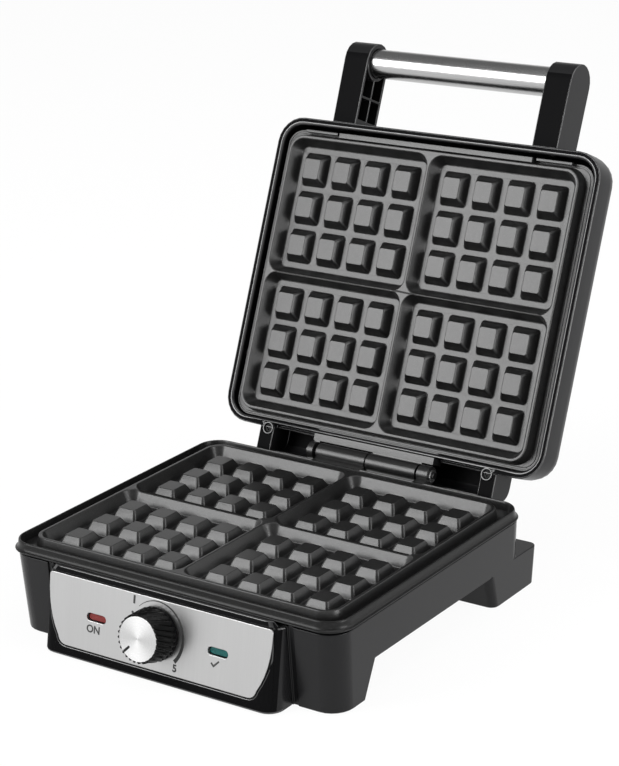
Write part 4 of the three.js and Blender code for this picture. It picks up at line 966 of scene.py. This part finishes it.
def knuckle(x0, x1, y, z, web_y, web_z):
    """Barrel of the hinge with its bore, and the web to its plate, between two heights."""
    low, high = (math.asin(max(-1, min(1, (edge - z) / barrel_radius))) for edge in web_z)
    sweep = 2 * math.pi + low - high
    steps = 40
    turns = [high + sweep * step / steps for step in range(steps + 1)]
    reach = barrel_radius if web_y > y else -barrel_radius
    barrel = [(y + reach * math.cos(turn), z + barrel_radius * math.sin(turn)) for turn in turns]
    rim = [*barrel, (web_y, web_z[0]), (web_y, web_z[1])]
    hole = circle(barrel_bore, y, z, 32)
    form = Form()
    rims = [form.ring([(*point, x) for point in rim]) for x in (x0, x1)]
    holes = [form.ring([(*point, x) for point in hole]) for x in (x0, x1)]
    form.bridge(*rims)
    form.bridge(*holes)
    for rim_ring, hole_ring in zip(rims, holes):
        form.fill(rim_ring, hole_ring)
    mesh = form.mesh()
    mesh.transform(on_its_side)
    return softened(mesh, 0.4, 2)


# Ends of the barrels along the pin
base_knuckles = ((-43.95, -0.55), (45.55, 54.85))
lid_knuckles = ((-52.25, -47.25), (0.55, 43.95))


def make_lower_plate():
    barrels = [
        knuckle(x0, x1, hinge_back, hinge_rise, web_edge, web_heights) for x0, x1 in base_knuckles
    ]
    mesh = joined(lower_plate_form(), *barrels)
    plate = piece("lower_cooking_plate", mesh, plate_frame, "lower_plate")
    plate.data.materials.append(rim_coating)
    back = plate_frame.inverted()
    rim_x, rim_y = (half + rim_start for half in land_half)
    for face in plate.data.polygons:
        middle = back @ face.center
        if abs(middle.x) > rim_x or middle.y < -rim_y:
            face.material_index = 1


upper_half = (134.55, 113.3)
upper_corner = 13

# Ledge of the upper plate with its groove, as distance out and height
upper_ledge = (
    (0.0, plate_back), (0.0, -7.5), (-0.15, -7.1), (-0.5, -6.9), (-1.3, -6.9), (-1.6, -7.05),
    (-1.75, -7.5), (-2.6, -7.5), (-2.75, -7.05), (-3.0, -6.9),
)

# Raised band at the handle's side of the ledge
band_half = 85
band_width = 4.1
band_foot = -7.4
step_start = 87.2
step_width = 2.2
step_top = -1.5

# Strip that carries the barrels of the lid
strip_end = 7.6  # short of the pin
strip_floor = -5
strip_land = -116.5
strip_play = 1.4  # from the barrels beside it
overlap = 0.5  # into the piece that it joins


def upper_plate_form():
    form = Form()
    rings = outline_rings(form, upper_half, upper_corner, upper_ledge)
    form.bm.faces.new(rings[0])
    rings.append(cooking_face(form, flange_depth))
    form.bridge(*rings)
    return form.mesh()


def make_upper_plate():
    edge = upper_half[1]
    trims = [block(-band_half, band_half, edge - band_width, edge, band_foot, 0)]
    for side in both_sides:
        ends = sorted((side * step_start, side * (land_half[0] - pocket_corner)))
        trims.append(block(*ends, edge - step_width, edge, band_foot, step_top))
    strip_edge = strip_end - hinge_back
    inside = overlap - edge
    strip_start = lid_knuckles[0][0] - strip_play
    strip_stop = base_knuckles[1][1] - strip_play
    strip_outline = [
        (strip_edge, plate_back), (inside, plate_back), (inside, strip_floor),
        (strip_land, strip_floor), (strip_land, 0), (strip_edge, 0),
    ]
    trims.append(crosswise(strip_outline, strip_start, strip_stop))
    pin_height = lid_gap - hinge_rise
    barrels = [
        knuckle(x0, x1, -hinge_back, pin_height, strip_edge + overlap, (strip_floor, 0))
        for x0, x1 in lid_knuckles
    ]
    rounded = [softened(mesh, 0.5, 2) for mesh in trims]
    mesh = joined(upper_plate_form(), *rounded, *barrels)
    piece("upper_cooking_plate", mesh, lid_frame, "upper_plate")


make_lower_plate()
make_upper_plate()


# Shells and console
rim_level = -1.9  # rim and ears of the lid, from its cooking face


def make_lid_shell():
    mesh = node_copy("lid_shell")
    mesh.transform(lid_frame.inverted() @ to_metres)
    mesh = softened(rim_rounded(mesh, rim_level, outer=0.9, inner=2.2), 0.6, clamped=False)
    faced(piece("lid_shell_soft", mesh, lid_frame, "lid_shell", lid_plastic), lid_front)


dressed("base_shell", 0.7)
make_lid_shell()
# faced() gives the console's and the arms' front faces painted shade, and the rounds beside them
# painted highlight.
faced(dressed("control_housing", 0.7), panel_out, least=0.6)
dressed("faceplate", 0.35)
for side in ("left", "right"):
    faced(dressed(f"handle_arm_{side}", 0.6, finish=handle_plastic), lid_front)
dressed("handle_tube", 0.3, 2)
dressed("lens_red", 0.6)
dressed("lens_green", 0.6)
dressed("bottom_cover", 0.3, 2)


# Pieces that follow a rule, from geometry nodes


class Shaper(Tree):
    """A geometry node tree with named sizes."""

    def __init__(self, name, sizes):
        group = bpy.data.node_groups.new(name, "GeometryNodeTree")
        super().__init__(group)
        group.interface.new_socket("Geometry", in_out="INPUT", socket_type="NodeSocketGeometry")
        for size in sizes:
            group.interface.new_socket(size, in_out="INPUT", socket_type="NodeSocketFloat")
        group.interface.new_socket("Geometry", in_out="OUTPUT", socket_type="NodeSocketGeometry")
        entry = group.nodes.new("NodeGroupInput")
        self.inputs = {socket.name: Wire(self, socket) for socket in entry.outputs if socket.name}
        self.sizes = sizes

    def finished(self, shape, finish):
        whole = self.node("GeometryNodeRealizeInstances", None, {0: shape})
        made = self.node("GeometryNodeSetMaterial", None, {0: whole, "Material": finish})
        self.node("NodeGroupOutput", None, {0: made})

    def mesh(self, points):
        """What the tree makes of the points, as a plain mesh."""
        thing = placed("shaped", points)
        modifier = thing.modifiers.new("shape", "NODES")
        modifier.node_group = self.nodes
        for item in self.nodes.interface.items_tree:
            if item.in_out == "INPUT" and item.name in self.sizes:
                modifier[item.identifier] = float(self.sizes[item.name])
        return plain_mesh(thing)


head_height = 2
head_taper = 0.84  # radius at the top against the foot
cross_length = 1.1  # against the head's radius
cross_width = 0.3
cross_depth = 0.55  # against the head's height
shank_radius = 1.75
tip_radius = 1.2
tip_length = 0.6


def screw_heads(points, outward, finish, sizes):
    """Pan heads with a cross recess at points, facing the outward direction."""
    shaper = Shaper("screw_heads", sizes)
    size = shaper.inputs
    head = shaper.node(
        "GeometryNodeMeshCone",
        None,
        {
            "Vertices": 40, "Side Segments": 1, "Radius Top": size["Head Radius"] * head_taper,
            "Radius Bottom": size["Head Radius"], "Depth": size["Head Height"],
        },
    )
    bars = []
    for long, wide in (("Cross Length", "Cross Width"), ("Cross Width", "Cross Length")):
        shape = shaper.node(
            "ShaderNodeCombineXYZ", None, {0: size[long], 1: size[wide], 2: size["Cross Depth"] * 2}
        )
        bar = shaper.node("GeometryNodeMeshCube", None, {"Size": shape})
        lift = shaper.node("ShaderNodeCombineXYZ", None, {2: size["Head Height"]})
        bars.append(shaper.node("GeometryNodeTransform", None, {0: bar, "Translation": lift}))
    settings = {"operation": "DIFFERENCE", "solver": "EXACT"}
    recessed = shaper.node("GeometryNodeMeshBoolean", settings, {0: head, 1: bars})
    way = shaper.node(
        "GeometryNodeInputNamedAttribute", {"data_type": "FLOAT_VECTOR"}, {"Name": "outward"}
    )
    turn = shaper.node("FunctionNodeAlignRotationToVector", {"axis": "Z"}, {"Vector": way})
    heads = shaper.node(
        "GeometryNodeInstanceOnPoints",
        None,
        {"Points": size["Geometry"], "Instance": recessed, "Rotation": turn},
    )
    shaper.finished(heads, finish)
    seats = bpy.data.meshes.new("seats")
    seats.from_pydata(points, [], [])
    ways = seats.attributes.new("outward", "FLOAT_VECTOR", "POINT")
    ways.data.foreach_set("vector", list(outward) * len(points))
    return shaper.mesh(seats)


def local_box(node, place):
    """Lowest and highest corners of a node in a frame of the object."""
    back = place.inverted()
    points = [back @ vertex.co for vertex in frame["nodes"][node].data.vertices]
    corners = (tuple(pick(p[axis] for p in points) for axis in range(3)) for pick in (min, max))
    return [Vector(corner) for corner in corners]


def make_screws(name, nodes, place, way, finish):
    """Heads at the top of the nodes' boxes, on a shank, for screws that face one way."""
    axis = [abs(part) for part in way].index(1)
    ends, lengths = [], []
    for node in nodes:
        low, high = local_box(node, place)
        end = (low + high) / 2
        end[axis] = high[axis] if way[axis] > 0 else low[axis]
        ends.append(end)
        lengths.append(abs((high - low)[axis]))
        radius = (high - low)[(axis + 1) % 3] / 2
    sizes = {
        "Head Radius": radius, "Head Height": head_height,
        "Cross Length": radius * cross_length, "Cross Width": radius * cross_width,
        "Cross Depth": head_height * cross_depth,
    }
    heads = screw_heads(ends, way, finish, sizes)
    heads.transform(Matrix.Translation([-part * head_height for part in way]))
    bodies = [heads]
    turn = Vector(way).to_track_quat("Z", "Y").to_matrix().to_4x4()
    for end, length in zip(ends, lengths):
        start = tip_length - length
        profile = ((tip_radius, -length), (shank_radius, start), (shank_radius, -head_height))
        shank = turned(profile, 24)
        shank.transform(Matrix.Translation(end) @ turn)
        bodies.append(shank)
    piece(name, joined(*bodies), place, nodes[0], finish, nodes)


hinge_screws = ["hinge_screw_left", "hinge_screw_right"]
bottom_screws = [
    f"bottom_screw_{end}_{side}" for end in ("front", "rear") for side in ("left", "right")
]
make_screws("hinge_screws", hinge_screws, lid_frame, (0, 0, 1), finishes["black_steel"])
make_screws("bottom_screws", bottom_screws, base_frame, (0, 0, -1), finishes["zinc_steel"])


# Raised rings round the hinge screws
ear_profile = ((3.72, -3), (3.72, 0.1), (3.95, 0.3), (4.4, 0.3), (4.6, 0.1), (4.6, -3))
ear_rings = []
for node in hinge_screws:
    low, high = local_box(node, lid_frame)
    x, y = (low.x + high.x) / 2, (low.y + high.y) / 2
    ear_rings.append(turned_ring(ear_profile, x, y, rim_level))
# The rings take the strongly reflecting copy of the black plastic: painted highlight.
piece("ear_rings", joined(*ear_rings), lid_frame, "lid_shell", painted_highlight_plastic, [])


# Knob


def fluted_grip(sizes):
    """Tapered grip with slanted flutes round it, standing on the panel."""
    shaper = Shaper("fluted_grip", sizes)
    size = shaper.inputs
    drum = shaper.node(
        "GeometryNodeMeshCylinder",
        None,
        {"Vertices": 336, "Side Segments": 12, "Radius": 1.0, "Depth": 1.0},
    )
    place = {0: shaper.node("GeometryNodeInputPosition")}
    x, y, z = (shaper.node("ShaderNodeSeparateXYZ", None, place, axis) for axis in range(3))
    up = z + 0.5
    angle = y.maths("ARCTAN2", y, x)
    phase = (angle - up * size["Twist"]) * size["Flutes"]
    valley = 0.5 - phase.maths("COSINE", phase) * 0.5
    reach = size["Back Radius"] + up * (size["Front Radius"] - size["Back Radius"])
    reach = reach - valley.maths("POWER", valley, flute_power) * size["Depth"]
    height = up * (size["Height"] - size["Foot"]) + size["Foot"]
    moved_to = shaper.node(
        "ShaderNodeCombineXYZ",
        None,
        {0: angle.maths("COSINE", angle) * reach, 1: angle.maths("SINE", angle) * reach, 2: height},
    )
    shape = shaper.node("GeometryNodeSetPosition", None, {0: drum, "Position": moved_to})
    shaper.finished(shape, finishes["knob_plastic"])
    return shaper.mesh(bpy.data.meshes.new("start"))


grip_sizes = {
    "Back Radius": 19.2, "Front Radius": 17, "Foot": 2.8, "Height": knob_height, "Flutes": 28,
    "Depth": 1.5, "Twist": rad(20),
}
flute_power = 0.7  # below 1 the flutes are wide and the ribs between them narrow
knob_sides = 96
seat_radius = 15.8  # of the recess that holds the disc
seat_floor = 18.4
pointer_angle = -135
pointer_reach = 12  # middle of the pointer from that of the knob
groove_size = (6.6, 1.8)  # length and width
groove_floor = 19.6
line_size = (6.5, 1.7)
line_levels = (19.0, 19.8)
cutter_top = knob_height + 4  # clear of the knob

# Profiles of the knob's turned pieces, as radius and height
foot_profile = ((14, 0.7), (18.2, 0.7), (18.6, 2.2), (17.6, 3.4), (14, 3.4))
disc_profile = ((15.2, 18.5), (15.5, 18.8), (15.5, 19.75), (15.3, 19.97), (15.0, knob_height))


def pointer_bar(size, bottom, top):
    """Bar with round ends along the pointer's direction."""
    mesh = prism(moved(slot_outline(*size), pointer_reach, 0), bottom, top)
    mesh.transform(Matrix.Rotation(rad(pointer_angle), 4, "Z"))
    return mesh


def make_knob():
    low, high = local_box("knob", panel_frame)
    centre = (low + high) / 2
    place = panel_frame @ Matrix.Translation((centre.x, centre.y, 0))
    grip = softened(fluted_grip(grip_sizes), 0.45, angle=50)
    seat = prism(circle(seat_radius, sides=knob_sides), seat_floor, cutter_top)
    piece("knob_grip", cut_from(grip, seat), place, "knob")
    foot = turned_ring(foot_profile, sides=knob_sides)
    # The foot takes the darker copy of the black plastic: painted shade.
    piece("knob_foot", foot, place, "knob", painted_shade_plastic, [])
    groove = pointer_bar(groove_size, groove_floor, cutter_top)
    piece("knob_disc", cut_from(turned(disc_profile, knob_sides), groove), place, "knob_cap")
    piece("knob_line", pointer_bar(line_size, *line_levels), place, "knob_pointer")


make_knob()


# Printed marks of the faceplate
ink_levels = (-0.1, 0.06)  # from the face of the steel
font_size = 1.42  # for capitals one unit tall
letter_depth = 0.05
letter_steps = 6  # of each curve
letter_merge = 0.0005
band_radius = 21.7
band_start = 135  # degrees
band_sweep = 179
band_thin = 0.4
band_growth = 2.4
band_power = 1.3  # above 1 it widens late
band_steps = 56


def printed(name, mesh, x, y):
    """A mark whose middle is at a place from the top of the panel."""
    piece(name, mesh, panel_frame @ Matrix.Translation((x, y, 0)), "faceplate", ink, [])


def flat_mark(points):
    return prism(points, *ink_levels)


def lettered(words, height, boldness=0.22):
    """Words of a height, thickened by the boldness."""
    curve = bpy.data.curves.new("words", "FONT")
    curve.body = words
    curve.size = height * font_size
    curve.align_x = "CENTER"
    curve.align_y = "CENTER"
    curve.extrude = letter_depth
    curve.offset = boldness
    curve.resolution_u = letter_steps
    made = plain_mesh(placed("words", curve))
    bm = bmesh.new()
    bm.from_mesh(made)
    bmesh.ops.remove_doubles(bm, verts=bm.verts, dist=letter_merge)
    bm.to_mesh(made)
    bm.free()
    return made


def heat_band():
    """Band round the knob that widens as the heat rises."""
    inner, outer = [], []
    for step in range(band_steps + 1):
        share = step / band_steps
        angle = rad(band_start - band_sweep * share)
        width = band_thin + band_growth * share ** band_power
        for side, radius in ((inner, band_radius), (outer, band_radius + width)):
            side.append((radius * math.cos(angle), radius * math.sin(angle)))
    return flat_mark(inner + outer[::-1])


def tick_mark(size):
    points = [(-2.6, 0.2), (-1.9, 0.9), (-0.7, -0.3), (2.3, 2.5), (2.9, 1.8), (-0.7, -1.7)]
    return flat_mark([(x * size, y * size) for x, y in points])


printed("heat_band_mark", heat_band(), 0, knob_drop)
printed("start_dot_mark", flat_mark(circle(0.95, sides=24)), -20.7, -13.4)
printed("number_1_mark", lettered("1", 5, 0.5), -19.8, -4.6)
printed("number_5_mark", lettered("5", 5, 0.26), 17.2, -44.2)
printed("on_mark", lettered("ON", 5.2), -53.4, -33.4)
printed("tick_mark", tick_mark(1.3), 49.6, -33.6)

# Nodes that keep their CAD form
for node, thing in frame["nodes"].items():
    if not thing.hide_render:
        for place in thing.material_slots:
            place.material = finishes[slot_of[node]]
